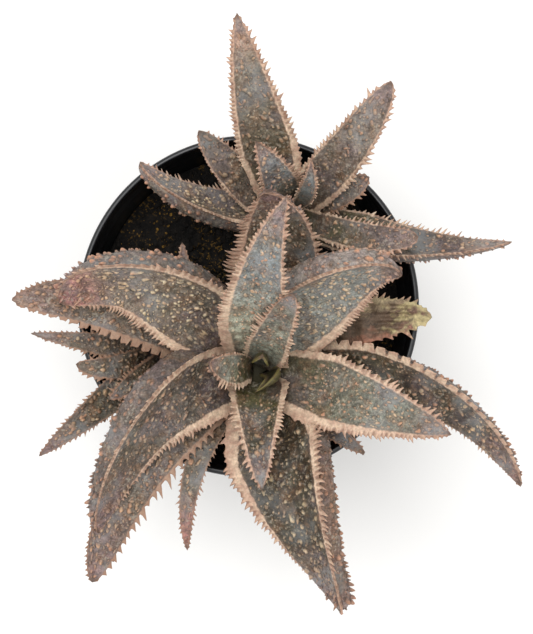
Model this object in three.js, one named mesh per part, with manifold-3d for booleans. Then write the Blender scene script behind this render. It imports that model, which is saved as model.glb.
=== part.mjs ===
// A potted haworthia-like succulent: three rosettes of thick toothed leaves in a black
// nursery pot. Millimetres, +Z up, origin on the ground at the centre of the pot's base.
// +Y is the top of the plant seen from above, +X its right.
import * as THREE from 'three';
import * as BufferGeometryUtils from 'three/addons/utils/BufferGeometryUtils.js';
import Module from 'manifold-3d';

const wasm = await Module();
wasm.setup();

// ---- driving dimensions ------------------------------------------------------------------

const GAP = 0.3; // clear space between pieces that touch on the plant
const LEAF_GAP = 0.4; // the same around a leaf's sparser outline, which cuts a little inside

// pot: a 10 cm nursery pot, 90 mm tall
const POT_HEIGHT = 90;
const RIM_RADIUS = 52;
const BASE_RADIUS = 37;
const WALL = 1.3;
const LIP_WIDTH = 1.8;
const COLLAR_HEIGHT = 9; // the stiffer, wider band under the lip
const COLLAR_STEP = 1.4;
const FLOOR = 2;
const FOOT_CHAMFER = 1.5;
const POT_SIDES = 52;
const DRAIN_HOLES = 8;
const DRAIN_RADIUS = 4;
const DRAIN_CIRCLE = 25;

// soil
const SOIL_TOP = 71;
const SOIL_MOUND = 2.5; // rise from the edge to the middle
const SOIL_GRAIN = 0.7; // height of the crumbs
const SOIL_RINGS = 7;

// rosettes: where each stem stands, its radius, and the height that it reaches
const STEM_FOOT = 60;
const STEMS = {
  main: { x: 3, y: -19.3, radius: 5, top: 99 },
  upper: { x: 12.5, y: 28, radius: 4, top: 91 },
  offset: { x: -24.5, y: -13.5, radius: 3, top: 80 },
};
const STEM_SIDES = 14;
const BASE_REACH = 2; // a leaf's axis starts this far from its stem's axis

// leaf form shared by all leaves
const BURIED_SHARE = 0.24; // share of the length that its neighbours cover, left smooth
const BURIED_ROWS = 4;
const ROW_PITCH = 2.2; // length of open leaf for each row of the skin; two rows make a tooth
const MOST_ROWS = 32;
const FEWEST_ROWS = 8;
const SHOULDER = 0.3; // share of the length where most leaves are widest
const BASE_SHARE = 0.8; // width of most leaves at the stem, as a share of the widest
const CHANNEL = 0.13; // hollow of most leaves' upper face, in half widths
const DEPTH_POWER = 0.7; // a leaf gets thin more slowly than it gets narrow
const TIP_POWER = 0.9; // rounds the taper a little near its end
const END_POWER = 9; // how late a blunt end rounds off
const FACE_AT = 0.45; // place of the upper face's points, in half widths
const BACK_AT = 0.68; // place of the back's side points, in half widths
const BACK_DROP = 0.73; // and how far down they lie, in depths
const TOOTH = 1.3;
const TOOTH_LIMIT = 0.4; // a tooth is never longer than this share of the half width
const TUBERCLE = 0.45;
const TUBERCLE_LIMIT = 0.12; // nor a tubercle higher than this share
const TUBERCLE_SHARE = 0.5; // share of the skin's points that carry a tubercle

// One leaf is a row of real sizes. Angles are in degrees, all else in millimetres.
//   path    heading of the tip seen from above, reach of the tip and of the leaf's middle
//           along that heading, and how far the middle bows out to the left of it
//   levels  height of the leaf's axis at the stem, in the middle and at the tip
//   blade   greatest width across the margins, and depth from the margins to the keel
//   turn    roll of the blade at the stem and at the tip (left margin up), and lean of the
//           keel to the left, as a share of the depth
//   form    taper, 1 for a straight one and more for one that starts late; share of the width
//           that a blunt tip keeps; share of the length where it is widest; width at the stem
//   hollow  hollow of the upper face, in half widths
// A leaf's name starts with the stem that it grows on.
const leaf = (name, path, levels, blade, turn, form, hollow = CHANNEL) => {
  const [taper, blunt, shoulder = SHOULDER, foot = BASE_SHARE] = form;
  return {
    name: `leaf_${name}`,
    stem: name.split('_')[0],
    path,
    levels,
    blade,
    turn,
    form: { taper, blunt, shoulder, foot },
    hollow,
  };
};

// Listed from the innermost leaf of a rosette to the lowest, and from the rosette that lies on
// top to those below it, because an outer leaf is cut clear of the ones that it clasps.
const LEAVES = [
  leaf('main_core', [75, 2.3, 2.1, 0], [99, 108, 116], [5, 3.7], [0, 0, 0], [6, 0.8], 1.05),
  leaf('main_heart', [-96, 5.8, 0.3, 4.1], [101, 112, 115], [5, 3], [30, 55, 0], [1.3, 0.06]),
  leaf('main_inner_left', [167, 13.8, 7, 1], [102, 115, 124], [10, 5], [10, 0, 0], [2, 0.3]),
  leaf('main_inner_right', [66, 24, 13.3, 0.3], [102, 124, 138], [13, 6], [0, 0, 0], [1, 0.36, 0.2, 0.9]),
  leaf('main_front', [-88, 34, 16, -0.5], [98, 117, 119], [18.5, 8], [0, 0, 0], [1.05, 0.1, 0.1, 0.9]),
  leaf('main_back', [80.5, 50, 23.5, 4], [99, 135, 150], [22, 8], [0, 0, 0], [1.05, 0.04, 0.25, 0.85]),
  leaf('main_right', [-18, 59.5, 33.5, 0.5], [96, 116, 112], [22.5, 8.5], [0, 0, 0], [1.15, 0.05]),
  leaf('main_upper_right', [34, 49.5, 31.5, 6], [95, 122, 126], [24, 11], [25, 62, 0.5], [1.5, 0.1]),
  leaf('main_upper_left', [161, 61.5, 37.5, -11], [94, 118, 110], [27, 11], [-20, -68, -0.45], [1.4, 0.3]),
  leaf('main_lower_left', [-134.5, 68.5, 31, -9.5], [92, 112, 98], [24, 11], [-28, -66, -0.6], [1.3, 0.2]),
  leaf('main_back_outer', [88, 51, 33.5, -4], [90, 112, 130], [28, 9], [0, 0, 0], [1.9, 0.15]),
  leaf('main_far_right', [-24, 87, 47, 14], [88, 105, 92], [20, 9], [5, 60, 0.2], [1.1, 0.2]),
  leaf('main_bottom', [-71.5, 76.5, 39, -4], [88, 112, 96], [33, 12], [0, 70, 0.7], [0.95, 0.26, 0.3, 0.65]),
  leaf('main_low_left', [-128, 82, 40, -9], [84, 102, 90], [18, 8], [-8, -12, 0], [1.5, 0.38]),
  leaf('main_left_low', [164, 76, 43, -6.5], [84, 105, 104], [20, 8], [0, -10, 0], [1.5, 0.2]),
  leaf('main_withered', [17, 54.5, 30.5, 4.8], [82, 97, 97], [15, 5], [0, 10, 0], [2, 0.32]),
  leaf('main_low_narrow', [-111.5, 58.5, 30.5, -7], [80, 97, 94], [8, 5], [0, 0, 0], [1.5, 0.28]),
  leaf('main_low_stub', [-38, 40.5, 23, -0.5], [80, 94, 96], [7, 4], [0, 0, 0], [1.6, 0.35]),
  leaf('upper_inner_left', [118.5, 21, 9, -1], [96, 120, 132], [12.5, 6], [0, 0, 0], [1.4, 0.08]),
  leaf('upper_inner_right', [68, 15, 7, -2.5], [95, 116, 124], [5, 4], [0, 0, 0], [1.8, 0.1]),
  leaf('upper_back', [105.5, 58, 31.5, 1.5], [92, 114, 124], [18, 7.5], [0, 0, 0], [1.2, 0.06]),
  leaf('upper_right_up', [51.5, 47, 24.5, -2], [90, 112, 118], [14, 7], [0, -5, 0], [1.5, 0.3]),
  leaf('upper_right_blunt', [-12, 38, 21.5, -3], [91, 111, 114], [8.5, 5], [0, 0, 0], [2.4, 0.6]),
  leaf('upper_small_right', [24, 25.5, 15.5, -1], [83, 101, 104], [8.5, 4], [0, 0, 0], [1.9, 0.3, 0.4, 0.6]),
  leaf('upper_left_small', [138.5, 36, 18.5, 2], [88, 102, 106], [13, 5], [0, 0, 0], [1.4, 0.28]),
  leaf('upper_left', [161.5, 47, 27, 4], [87, 99, 102], [13, 7], [42, 58, 0.3], [1.4, 0.2]),
  leaf('upper_far_right', [-7.5, 67, 35, -4], [85, 101, 100], [15.5, 7], [-20, -50, -0.2], [1.1, 0.06]),
  leaf('offset_inner', [-139.5, 22, 13.5, 0.5], [84, 99, 104], [6, 3], [0, 0, 0], [1.8, 0.15]),
  leaf('offset_left_down', [-140.5, 49.5, 24, 0], [82, 97, 98], [11, 5], [0, 0, 0], [1.3, 0.15]),
  leaf('offset_left_short', [-171.5, 27.5, 15.5, 2.5], [81, 95, 97], [8, 4], [0, 0, 0], [1.6, 0.4]),
  leaf('offset_left_long', [172.5, 41, 20.5, 0.5], [80, 95, 98], [8, 4.5], [0, 0, 0], [1.4, 0.1]),
  leaf('offset_back', [82.5, 33, 19, -2], [79, 90, 91], [6, 3], [0, 0, 0], [1.8, 0.1]),
];

// ---- materials ---------------------------------------------------------------------------

const potPlastic = new THREE.MeshStandardMaterial({ color: 0x15161a, roughness: 0.35, metalness: 0 });
const compost = new THREE.MeshStandardMaterial({ color: 0x2a231c, roughness: 0.95, metalness: 0 });
const stemBark = new THREE.MeshStandardMaterial({ color: 0x6b6350, roughness: 0.8, metalness: 0 });
const leafSkin = new THREE.MeshStandardMaterial({ color: 0x7d6f62, roughness: 0.6, metalness: 0 });
const witheredSkin = new THREE.MeshStandardMaterial({ color: 0x8c8062, roughness: 0.75, metalness: 0 });

// ---- solids ------------------------------------------------------------------------------

// A closed solid from flat lists of coordinates and triangle corners.
function solidOf(coordinates, corners) {
  return new wasm.Manifold(new wasm.Mesh({
    numProp: 3,
    vertProperties: new Float32Array(coordinates),
    triVerts: new Uint32Array(corners),
  }));
}

// A closed solid from a three.js geometry: seams are merged and triangles that shrink to a
// line on the axis are dropped.
function solidFromGeometry(geometry) {
  geometry.deleteAttribute('normal');
  geometry.deleteAttribute('uv');
  const merged = BufferGeometryUtils.mergeVertices(geometry);
  const corners = [];
  for (let i = 0; i < merged.index.count; i += 3) {
    const [a, b, c] = [0, 1, 2].map((step) => merged.index.getX(i + step));
    if (a !== b && b !== c && c !== a) corners.push(a, b, c);
  }
  return solidOf(merged.attributes.position.array, corners);
}

// A profile of [radius, height] pairs turned about the vertical axis.
function turned(profile, sides) {
  const points = profile.map(([radius, height]) => new THREE.Vector2(radius, height));
  return new THREE.LatheGeometry(points, sides).rotateX(Math.PI / 2);
}

// The largest body of a cut solid; loose scraps are dropped.
function largestBody(solid) {
  return solid.decompose().reduce((best, body) => (body.volume() > best.volume() ? body : best));
}

function meshOf(name, solid, material) {
  const { vertProperties, triVerts } = solid.getMesh();
  const geometry = new THREE.BufferGeometry();
  geometry.setAttribute('position', new THREE.BufferAttribute(vertProperties, 3));
  geometry.setIndex(new THREE.BufferAttribute(triVerts, 1));
  geometry.computeVertexNormals();
  const mesh = new THREE.Mesh(geometry, material);
  mesh.name = name;
  return mesh;
}

// ---- pot ---------------------------------------------------------------------------------

// Outer radius of the pot's wall at a height, below the collar.
function wallRadius(height) {
  const collarFoot = POT_HEIGHT - COLLAR_HEIGHT;
  const top = RIM_RADIUS - LIP_WIDTH + WALL - COLLAR_STEP;
  return BASE_RADIUS + (top - BASE_RADIUS) * (height / collarFoot);
}

function potSolid() {
  const collarFoot = POT_HEIGHT - COLLAR_HEIGHT;
  const collarRadius = RIM_RADIUS - LIP_WIDTH + WALL;
  const profile = [
    [0, 0],
    [BASE_RADIUS - FOOT_CHAMFER, 0],
    [wallRadius(FOOT_CHAMFER), FOOT_CHAMFER],
    [wallRadius(collarFoot), collarFoot],
    [collarRadius - WALL / 4, collarFoot + WALL],
    [collarRadius, POT_HEIGHT - 2 * WALL],
    [RIM_RADIUS, POT_HEIGHT - 2 * WALL],
    [RIM_RADIUS, POT_HEIGHT - WALL / 2],
    [RIM_RADIUS - WALL / 2, POT_HEIGHT],
    [RIM_RADIUS - LIP_WIDTH + WALL / 4, POT_HEIGHT],
    [RIM_RADIUS - LIP_WIDTH, POT_HEIGHT - WALL / 2],
    [collarRadius - WALL - WALL / 4, collarFoot + WALL],
    [wallRadius(collarFoot) - WALL, collarFoot - WALL],
    [wallRadius(FLOOR) - WALL, FLOOR],
    [0, FLOOR],
  ];
  const holes = [];
  for (let i = 0; i < DRAIN_HOLES; i += 1) {
    const angle = (2 * Math.PI * i) / DRAIN_HOLES;
    const drill = new THREE.CylinderGeometry(DRAIN_RADIUS, DRAIN_RADIUS, 4 * FLOOR, 12);
    drill.rotateX(Math.PI / 2);
    drill.translate(DRAIN_CIRCLE * Math.cos(angle), DRAIN_CIRCLE * Math.sin(angle), 0);
    holes.push(solidFromGeometry(drill));
  }
  return holes.reduce((pot, hole) => pot.subtract(hole), solidFromGeometry(turned(profile, POT_SIDES)));
}

// ---- stems and soil ----------------------------------------------------------------------

// A short stem, a little thicker in the middle, grown outwards by `grow` for the hole it fills.
function stemSolid({ x, y, radius, top }, grow) {
  const profile = [
    [0, STEM_FOOT - grow],
    [radius * 0.8 + grow, STEM_FOOT - grow],
    [radius + grow, (STEM_FOOT + top) / 2],
    [radius * 0.7 + grow, top + grow],
    [0, top + grow],
  ];
  return solidFromGeometry(turned(profile, STEM_SIDES).translate(x, y, 0));
}

// Height of the compost's surface: a low mound with crumbs from crossed waves.
function soilHeight(x, y, edge) {
  const share = Math.hypot(x, y) / edge;
  const crumbs = Math.sin(0.9 * x + 2) * Math.cos(0.7 * y) + Math.sin(0.53 * (x + y));
  return SOIL_TOP + SOIL_MOUND * (1 - share * share) + SOIL_GRAIN * crumbs * (1 - share ** 6);
}

function soilSolid() {
  const edge = wallRadius(SOIL_TOP) - WALL - GAP;
  const foot = wallRadius(FLOOR) - WALL - GAP;
  const profile = [[0, FLOOR + GAP], [foot, FLOOR + GAP]];
  for (let ring = SOIL_RINGS; ring >= 0; ring -= 1) profile.push([(edge * ring) / SOIL_RINGS, SOIL_TOP]);
  const geometry = turned(profile, POT_SIDES);
  const position = geometry.attributes.position;
  for (let i = 0; i < position.count; i += 1) {
    if (position.getZ(i) > SOIL_TOP - 1) {
      position.setZ(i, soilHeight(position.getX(i), position.getY(i), edge));
    }
  }
  const holes = Object.values(STEMS).map((stem) => stemSolid(stem, GAP));
  return holes.reduce((soil, hole) => soil.subtract(hole), solidFromGeometry(geometry));
}

// ---- leaves ------------------------------------------------------------------------------

const direction = (degrees) => {
  const angle = THREE.MathUtils.degToRad(degrees);
  return new THREE.Vector3(Math.cos(angle), Math.sin(angle), 0);
};

// The leaf's axis: one arched curve from the stem through the leaf's middle to its tip.
function leafAxis({ stem, path, levels }) {
  const [heading, reach, middleReach, bow] = path;
  const { x, y } = STEMS[stem];
  const ahead = direction(heading);
  const aside = direction(heading + 90);
  const centre = new THREE.Vector3(x, y, 0);
  const middle = centre.clone().addScaledVector(ahead, middleReach).addScaledVector(aside, bow);
  const outward = middle.clone().sub(centre).normalize();
  const base = centre.clone().addScaledVector(outward, BASE_REACH).setZ(levels[0]);
  const tip = centre.clone().addScaledVector(ahead, reach).setZ(levels[2]);
  middle.setZ(levels[1]);
  const pull = middle.clone().multiplyScalar(2).sub(base.clone().add(tip).multiplyScalar(0.5));
  return { curve: new THREE.QuadraticBezierCurve3(base, pull, tip), aside };
}

// Share of the full width at a share t of the length: a taper to a point, with a part of the
// width held to a late, rounded end.
function widthShare(t, { taper, blunt, shoulder, foot }) {
  const rise = foot + (1 - foot) * THREE.MathUtils.smoothstep(t, 0, shoulder);
  const beyond = Math.max(0, (t - shoulder) / (1 - shoulder));
  const tapered = Math.max(0, 1 - beyond ** taper) ** TIP_POWER;
  const rounded = Math.sqrt(Math.max(0, 1 - beyond ** END_POWER));
  return rise * ((1 - blunt) * tapered + blunt * rounded);
}

// A repeatable draw between 0 and 1 for a point of a leaf's skin.
function draw(seed, row, column) {
  const value = Math.sin(seed * 37.7 + row * 12.9898 + column * 78.233) * 43758.5453;
  return value - Math.floor(value);
}

// The outline of a leaf across its axis, as [sideways, upwards] in millimetres, clockwise seen
// from the stem: left margin, upper face, right margin, back. Every second row's margins
// stand out as teeth, `raised` tells which points carry a tubercle, and `channel` is the
// hollow of the upper face in half widths.
function leafOutline({ blade, turn, form }, t, channel, toothed, raised) {
  const share = widthShare(t, form);
  const half = (blade[0] / 2) * share;
  const depth = blade[1] * share ** DEPTH_POWER;
  const tooth = toothed ? Math.min(TOOTH, half * TOOTH_LIMIT) : 0;
  const bump = (column) => Math.min(TUBERCLE, half * TUBERCLE_LIMIT) * raised(column);
  const back = (side, down, column) => {
    const out = 1 + bump(column) / depth;
    return [out * side * half + turn[2] * down * depth, -out * down * depth];
  };
  return [
    [half + tooth, 0],
    [FACE_AT * half, bump(0) - channel * half],
    [-FACE_AT * half, bump(1) - channel * half],
    [-half - tooth, 0],
    back(-BACK_AT, BACK_DROP, 2),
    back(0, 1, 3),
    back(BACK_AT, BACK_DROP, 4),
  ];
}

// The same outline with every point moved out from its middle by `grow`.
function grownOutline(outline, grow) {
  const middle = outline.reduce((sum, point) => [sum[0] + point[0], sum[1] + point[1]], [0, 0]);
  const [x, y] = middle.map((value) => value / outline.length);
  return outline.map((point) => {
    const scale = 1 + grow / Math.hypot(point[0] - x, point[1] - y);
    return [x + (point[0] - x) * scale, y + (point[1] - y) * scale];
  });
}

// The rows of a leaf's skin as shares of its length: a few where it is buried, then even ones.
function skinRows(length) {
  const wanted = Math.round((length * (1 - BURIED_SHARE)) / ROW_PITCH);
  const open = THREE.MathUtils.clamp(wanted, FEWEST_ROWS, MOST_ROWS);
  const buried = Array.from({ length: BURIED_ROWS }, (_, i) => (BURIED_SHARE * i) / BURIED_ROWS);
  const even = Array.from({ length: open }, (_, i) => BURIED_SHARE + ((1 - BURIED_SHARE) * i) / open);
  return [...buried, ...even];
}

// Outlines carried along a leaf's axis, rolled about it, and closed by a point at each end,
// which stands `grow` beyond the end of the axis.
function sweptLeaf({ axis, turn }, rows, grow, outlineAt) {
  const { curve, aside } = axis;
  const coordinates = [];
  const corners = [];
  let columns = 0;
  rows.forEach((t, i) => {
    const point = curve.getPoint(t);
    const along = curve.getTangent(t);
    const roll = THREE.MathUtils.degToRad(turn[0] + (turn[1] - turn[0]) * t);
    const side = aside.clone().addScaledVector(along, -aside.dot(along)).normalize();
    const up = along.clone().cross(side).applyAxisAngle(along, roll);
    side.applyAxisAngle(along, roll);
    const outline = outlineAt(t, i);
    columns = outline.length;
    for (const [across, upwards] of outline) {
      coordinates.push(...point.clone().addScaledVector(side, across).addScaledVector(up, upwards));
    }
    for (let k = 0; k < columns && i > 0; k += 1) {
      const a = (i - 1) * columns + k;
      const b = (i - 1) * columns + ((k + 1) % columns);
      corners.push(a, b, a + columns, b, b + columns, a + columns);
    }
  });
  const base = rows.length * columns;
  coordinates.push(...curve.getPoint(0).addScaledVector(curve.getTangent(0), -grow));
  coordinates.push(...curve.getPoint(1).addScaledVector(curve.getTangent(1), grow));
  for (let k = 0; k < columns; k += 1) {
    const next = (k + 1) % columns;
    corners.push(base, next, k, base + 1, base - columns + k, base - columns + next);
  }
  return solidOf(coordinates, corners);
}

// A leaf with its teeth and tubercles.
function leafSolid(row, seed) {
  const open = (i) => i > BURIED_ROWS;
  const outlineAt = (t, i) => leafOutline(
    row,
    t,
    row.hollow,
    open(i) && i % 2 === 1,
    (column) => (open(i) && draw(seed, i, column) < TUBERCLE_SHARE ? 1 : 0),
  );
  return sweptLeaf(row, skinRows(row.axis.curve.getLength()), 0, outlineAt);
}

// The space that a leaf keeps free of other pieces: every second open row, each as if all its
// points were teeth and tubercles and its upper face flat, and a gap more.
function clearanceSolid(row) {
  const rows = skinRows(row.axis.curve.getLength());
  const fewer = rows.filter((_, i) => i < BURIED_ROWS || i % 2 === 0 || i === rows.length - 1);
  const outlineAt = (t) => grownOutline(leafOutline(row, t, 0, true, () => 1), LEAF_GAP);
  return sweptLeaf(row, fewer, GAP, outlineAt);
}

const touch = (a, b) => [0, 1, 2].every((axis) => a.min[axis] < b.max[axis] && b.min[axis] < a.max[axis]);

// ---- assembly ----------------------------------------------------------------------------

const plant = new THREE.Group();
plant.add(meshOf('pot', potSolid(), potPlastic));
plant.add(meshOf('soil', soilSolid(), compost));

const keptClear = [];
for (const [name, stem] of Object.entries(STEMS)) {
  plant.add(meshOf(`stem_${name}`, stemSolid(stem, 0), stemBark));
  keptClear.push(stemSolid(stem, GAP));
}

LEAVES.forEach((size, seed) => {
  const row = { ...size, axis: leafAxis(size) };
  const whole = leafSolid(row, seed);
  const box = whole.boundingBox();
  const neighbours = keptClear.filter((solid) => touch(solid.boundingBox(), box));
  const cut = neighbours.reduce((solid, neighbour) => solid.subtract(neighbour), whole);
  const skin = row.name.endsWith('withered') ? witheredSkin : leafSkin;
  plant.add(meshOf(row.name, largestBody(cut), skin));
  keptClear.push(clearanceSolid(row));
});

export default plant;
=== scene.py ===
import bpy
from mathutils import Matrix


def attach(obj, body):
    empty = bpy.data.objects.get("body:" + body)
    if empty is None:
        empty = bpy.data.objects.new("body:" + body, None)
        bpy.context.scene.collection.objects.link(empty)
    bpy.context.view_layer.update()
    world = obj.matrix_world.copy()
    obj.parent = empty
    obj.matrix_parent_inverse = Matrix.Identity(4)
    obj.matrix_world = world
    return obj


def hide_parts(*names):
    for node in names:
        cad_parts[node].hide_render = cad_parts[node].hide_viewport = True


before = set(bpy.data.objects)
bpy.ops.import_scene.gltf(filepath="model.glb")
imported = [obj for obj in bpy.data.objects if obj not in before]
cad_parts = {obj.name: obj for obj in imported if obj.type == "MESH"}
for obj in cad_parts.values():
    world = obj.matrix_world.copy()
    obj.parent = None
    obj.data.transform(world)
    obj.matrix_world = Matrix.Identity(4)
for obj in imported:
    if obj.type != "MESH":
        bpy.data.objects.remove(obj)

"""Potted rosette succulent: thick toothed leaves in three rosettes, in a black nursery pot.

Laid out as an add-on and run as a script. All shapes are worked out in millimetres, with +Z up and
the origin on the ground under the middle of the pot, and turned to metres when a mesh is made.
Seen from above, +Y is the top of the plant and +X its right.
"""

from collections import namedtuple
from functools import partial

import bpy
import numpy as np
from bpy.props import FloatProperty, FloatVectorProperty, IntProperty, PointerProperty
from bpy.types import NodeSocket, Operator, Panel, PropertyGroup

bl_info = {
    "name": "Potted Rosette Succulent",
    "version": (1, 0, 0),
    "blender": (4, 5, 0),
    "location": "View3D > Sidebar > Succulent",
    "description": "Builds a potted succulent with toothed leaves around its packed solids",
    "category": "Add Mesh",
}

MM = 0.001
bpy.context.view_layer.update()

# ---- real sizes, in millimetres, as in the solids ----

POT_HEIGHT = 90.0
RIM_RADIUS = 52.0
BASE_RADIUS = 37.0
WALL = 1.3
LIP_WIDTH = 1.8
COLLAR_HEIGHT = 9.0
COLLAR_STEP = 1.4
POT_FLOOR = 2.0
FOOT_CHAMFER = 1.5
DRAIN_HOLES = 8
DRAIN_RADIUS = 4.0
DRAIN_CIRCLE = 25.0
SOIL_TOP = 71.0
SOIL_MOUND = 2.5
SOIL_GAP = 0.3
LUMP_WIDTH = 11.0
LUMP_HEIGHT = 0.8
CRUMBS = (3.1, 0.85, 1.9, 0.8, 102)     # pitch, share, radius, sharpness and seed of the crumbs
FINE_CRUMBS = (1.5, 0.8, 0.9, 0.8, 103)
GRAIN_MARGIN = 1.5                      # the loose grains keep this far from the wall
STEM_FOOT = 60.0
SCAR_PITCH = 3.2      # spacing of the leaf scars on a stem
SCAR_RELIEF = 0.05    # their height, as a share of its radius
BASE_REACH = 2.0      # a leaf's axis starts this far from its stem's axis

Stem = namedtuple("Stem", "x y radius top")
STEMS = {
    "main": Stem(3.0, -19.3, 5.0, 99.0),
    "upper": Stem(12.5, 28.0, 4.0, 91.0),
    "offset": Stem(-24.5, -13.5, 3.0, 80.0),
}

# leaf form shared by all leaves
BURIED_SHARE = 0.24   # share of the length that its neighbours cover
SHOULDER = 0.3        # share of the length where most leaves are widest
BASE_SHARE = 0.8      # width of most leaves at the stem, as a share of the widest
CHANNEL = 0.13        # hollow of most leaves' upper face, in half widths
DEPTH_POWER = 0.7     # a leaf gets thin more slowly than it gets narrow
TIP_POWER = 0.9       # rounds the taper a little near its end
END_POWER = 9         # how late a blunt end rounds off
LAST_ROW = 0.994      # share of the length where the skin closes to the tip's point

# margins: a thin pale flange along each side, ribbed by its teeth, which lean towards the tip
BAND_SHARE = 0.36     # it never takes more than this share of the half width
BAND_FROM = 0.25      # share of the length where its width is the one given for the leaf
BAND_POWER = 1.3      # how soon it narrows
LEAST_BAND = 0.35     # and its least width
BAND_ROOT = 0.95      # thickness where it meets the leaf
BAND_EDGE = 0.2       # and at its edge
TOOTH_SHARE = 0.5     # a tooth is never longer than this share of the half width
LEAST_TOOTH = 0.7     # but near the tip it keeps this length
GROUP_PITCH = 3.5     # a block of two or three teeth, where the teeth stand in groups
TOOTH_LEAN = 0.8      # forward lean, in tooth lengths
RIB_REACH = 1.9       # how far in from the edge a tooth's rib reaches
CLUSTER = 7.0         # stretch of a margin over which the teeth grow longer and shorter
CLUSTER_SHARE = 0.4   # and by how much
ROOT_SHARE = 0.35     # a flange's root is never thicker than this share of the leaf's depth
EDGE_POWER = 0.8      # how evenly it thins to its edge
TOOTH_PEAK = 0.7      # place of a tooth's point, as a share of its width
SLOT_CUT = 0.6        # how far the slots between groups cut back, as a share of the flange
LAST_TOOTH = 0.985    # share of the length where the teeth end
CURL = 0.1            # how far a flange turns up, as a share of its reach
SWAY = 0.35           # how far it sways up and down
SWAY_LENGTH = 17.0    # and over what length
SWELLING = 0.12       # how far it is swollen in the middle
TOOTH_RISE = 0.12     # and how far its teeth stand up

# tooth   length of a tooth
# pitch   spacing of the teeth
# width   width of a tooth, as a share of the spacing
# groups  how far the teeth stand in groups, each on its own piece of the flange, 0 to 1
# rib     relief of a tooth's rib on the flange
# cut     how far the gaps between single teeth cut back into the flange, as a share of it
Teeth = namedtuple("Teeth", "tooth pitch width groups rib cut")
TEETH = {
    "smooth": Teeth(0.08, 1.2, 1.0, 0, 0.0, 0.0),
    "ridge": Teeth(0.5, 1.1, 0.9, 0, 0.8, 0.1),
    "fine": Teeth(1.1, 1.3, 0.95, 0, 0.7, 0.12),
    "saw": Teeth(1.6, 1.7, 0.95, 0, 0.95, 0.2),
    "comb": Teeth(2.1, 1.5, 0.78, 0, 1.3, 0.35),
    "hooks": Teeth(2.3, 3.2, 0.75, 0, 0.7, 0.5),
    "blocks": Teeth(1.0, 1.5, 1.0, 1, 0.9, 0.1),
    "pads": Teeth(0.5, 1.5, 1.0, 1, 0.7, 0.1),
    "needles": Teeth(1.9, 1.7, 0.55, 0, 0.6, 0.4),
    "spines": Teeth(1.1, 1.6, 0.6, 0, 0.6, 0.4),
}

# skin
ROW_STEP = 0.24       # spacing of the grid along the open leaf
BURIED_STEP = 0.9     # and where neighbours cover it
COLUMN_STEP = 0.33    # spacing across
BAND_COLUMNS = 9      # columns of each face of a flange
BACK_PITCH = 1.8      # spacing of the pointed tubercles on the back
BACK_BEAD = 0.52      # their radius
BACK_BUMP = 1.0       # and height
HOOK_PITCH = 5.0      # spacing of the few long hooked ones on the upper face
HOOK_BEAD = 0.45
HOOK_BUMP = 1.2
HOOK_STRETCH = 2.6    # their length, in widths
TIP_GROWTH = 0.8      # how much higher the tubercles stand at the tip, as a share
FULL_BEADS = 4.5      # a leaf with a smaller half width has lower ones
HIGH_BUMP = 0.8       # tubercles that stand this high keep their colour up to the tip
BEAD_WARP = 0.24      # how far their rows are bent about
SMALL_PITCH = 0.62    # the small ones among them: pitch, radius and height, as shares
SMALL_RADIUS = 0.55
SMALL_HEIGHT = 0.6
FACE_WAVE = 0.16      # height of the low waves of the upper face
FACE_WAVE_LENGTH = 9.0  # and their length
FOLD_WIDTH = 2.2      # width of a shrunken leaf's folds
FOLD_DRAW = 0.35      # and as a share of their length
BACK_COLUMNS = 1.3    # columns of the back for each of the face
KEEL_SHARE = 0.55     # how far the back comes to a keel at the tip
AXIS_STEPS = 2001     # steps in which a leaf's length is measured
LEAF_SHIFT = 60.0     # distance between the leaves' stretches of pattern
RIM_SPAN = 8.0        # the skin's distance from a flange's root is kept up to half of this
FACE, UNDERSIDE, BACK = 1, 3, 4  # the upper face, the first strip below and the back, of six

# pitch   spacing of the tubercles on a leaf's upper face
# radius  their radius
# bump    and height
# warm    how orange they are, 0 for cream to 1
# clear   how far their colour stands out from the skin, 0 to 1
# folds   height of the skin's lengthwise folds
# brown   how far the flanges are browned, partly with age and partly darkened as painted shade, 0 to 1
Warts = namedtuple("Warts", "pitch radius bump warm clear folds brown", defaults=(0.0, 0.0))
WARTS = {
    "bare": Warts(2.0, 0.5, 0.0, 0.0, 0.0),
    "shrunken": Warts(2.0, 0.5, 0.0, 0.0, 0.0, 0.55),
    "flecks": Warts(1.7, 0.45, 0.4, 0.65, 0.8),
    "cream": Warts(1.65, 0.52, 0.55, 0.15, 1.0),
    "pearls": Warts(2.1, 0.58, 0.8, 0.2, 0.66),
    "tan": Warts(1.85, 0.52, 0.55, 0.6, 0.6),
    "rosy": Warts(1.85, 0.5, 0.55, 0.6, 0.85),
    "spiny": Warts(1.8, 0.54, 0.85, 0.6, 0.75, 0, 0.75),
}

# ---- stage, in metres unless millimetres are named ----

FLOOR_REACH = 3000    # half the floor's side, in millimetres
FLOOR_DROP = 0.1      # and how far it lies under the pot
CAMERA_PLACE = (5.5 * MM, -3.3 * MM)
# place and diameter of each softbox, and its power as a share of the main one's
SOFTBOXES = {
    "softbox_key": ((-0.22, 0.25, 1.35), 0.9, 1.0),
    "softbox_fill": ((0.5, -0.3, 1.2), 0.8, 0.3),
}

# ---- colours, sRGB ----

TONES = {
    "deep": "#2b2712",          # painted shade: young olive darkened, down in the heart where little light gets
    "olive": "#4c4828",         # young skin
    "olive_brown": "#524836",
    "umber": "#352b1d",
    "sage": "#8f9283",          # the palest green of the young leaves
    "brown_grey": "#443b35",
    "olive_grey": "#575440",
    "green_grey": "#727368",
    "pale_green": "#8e9089",
    "cream_green": "#aeae99",
    "blue_grey": "#7f8483",
    "grey_brown": "#61554b",
    "dark_brown": "#54483d",
    "near_black": "#3d362f",
    "dull_mauve": "#685c57",
    "pale_mauve": "#a3968e",
    "red_grey": "#6f574b",
    "warm_grey": "#827468",
    "stone": "#75695b",
    "mauve": "#806763",
    "red_mauve": "#b3736b",
    "pink_tan": "#ad8a79",
    "brown": "#655343",
    "red_brown": "#6f5446",
}

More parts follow.
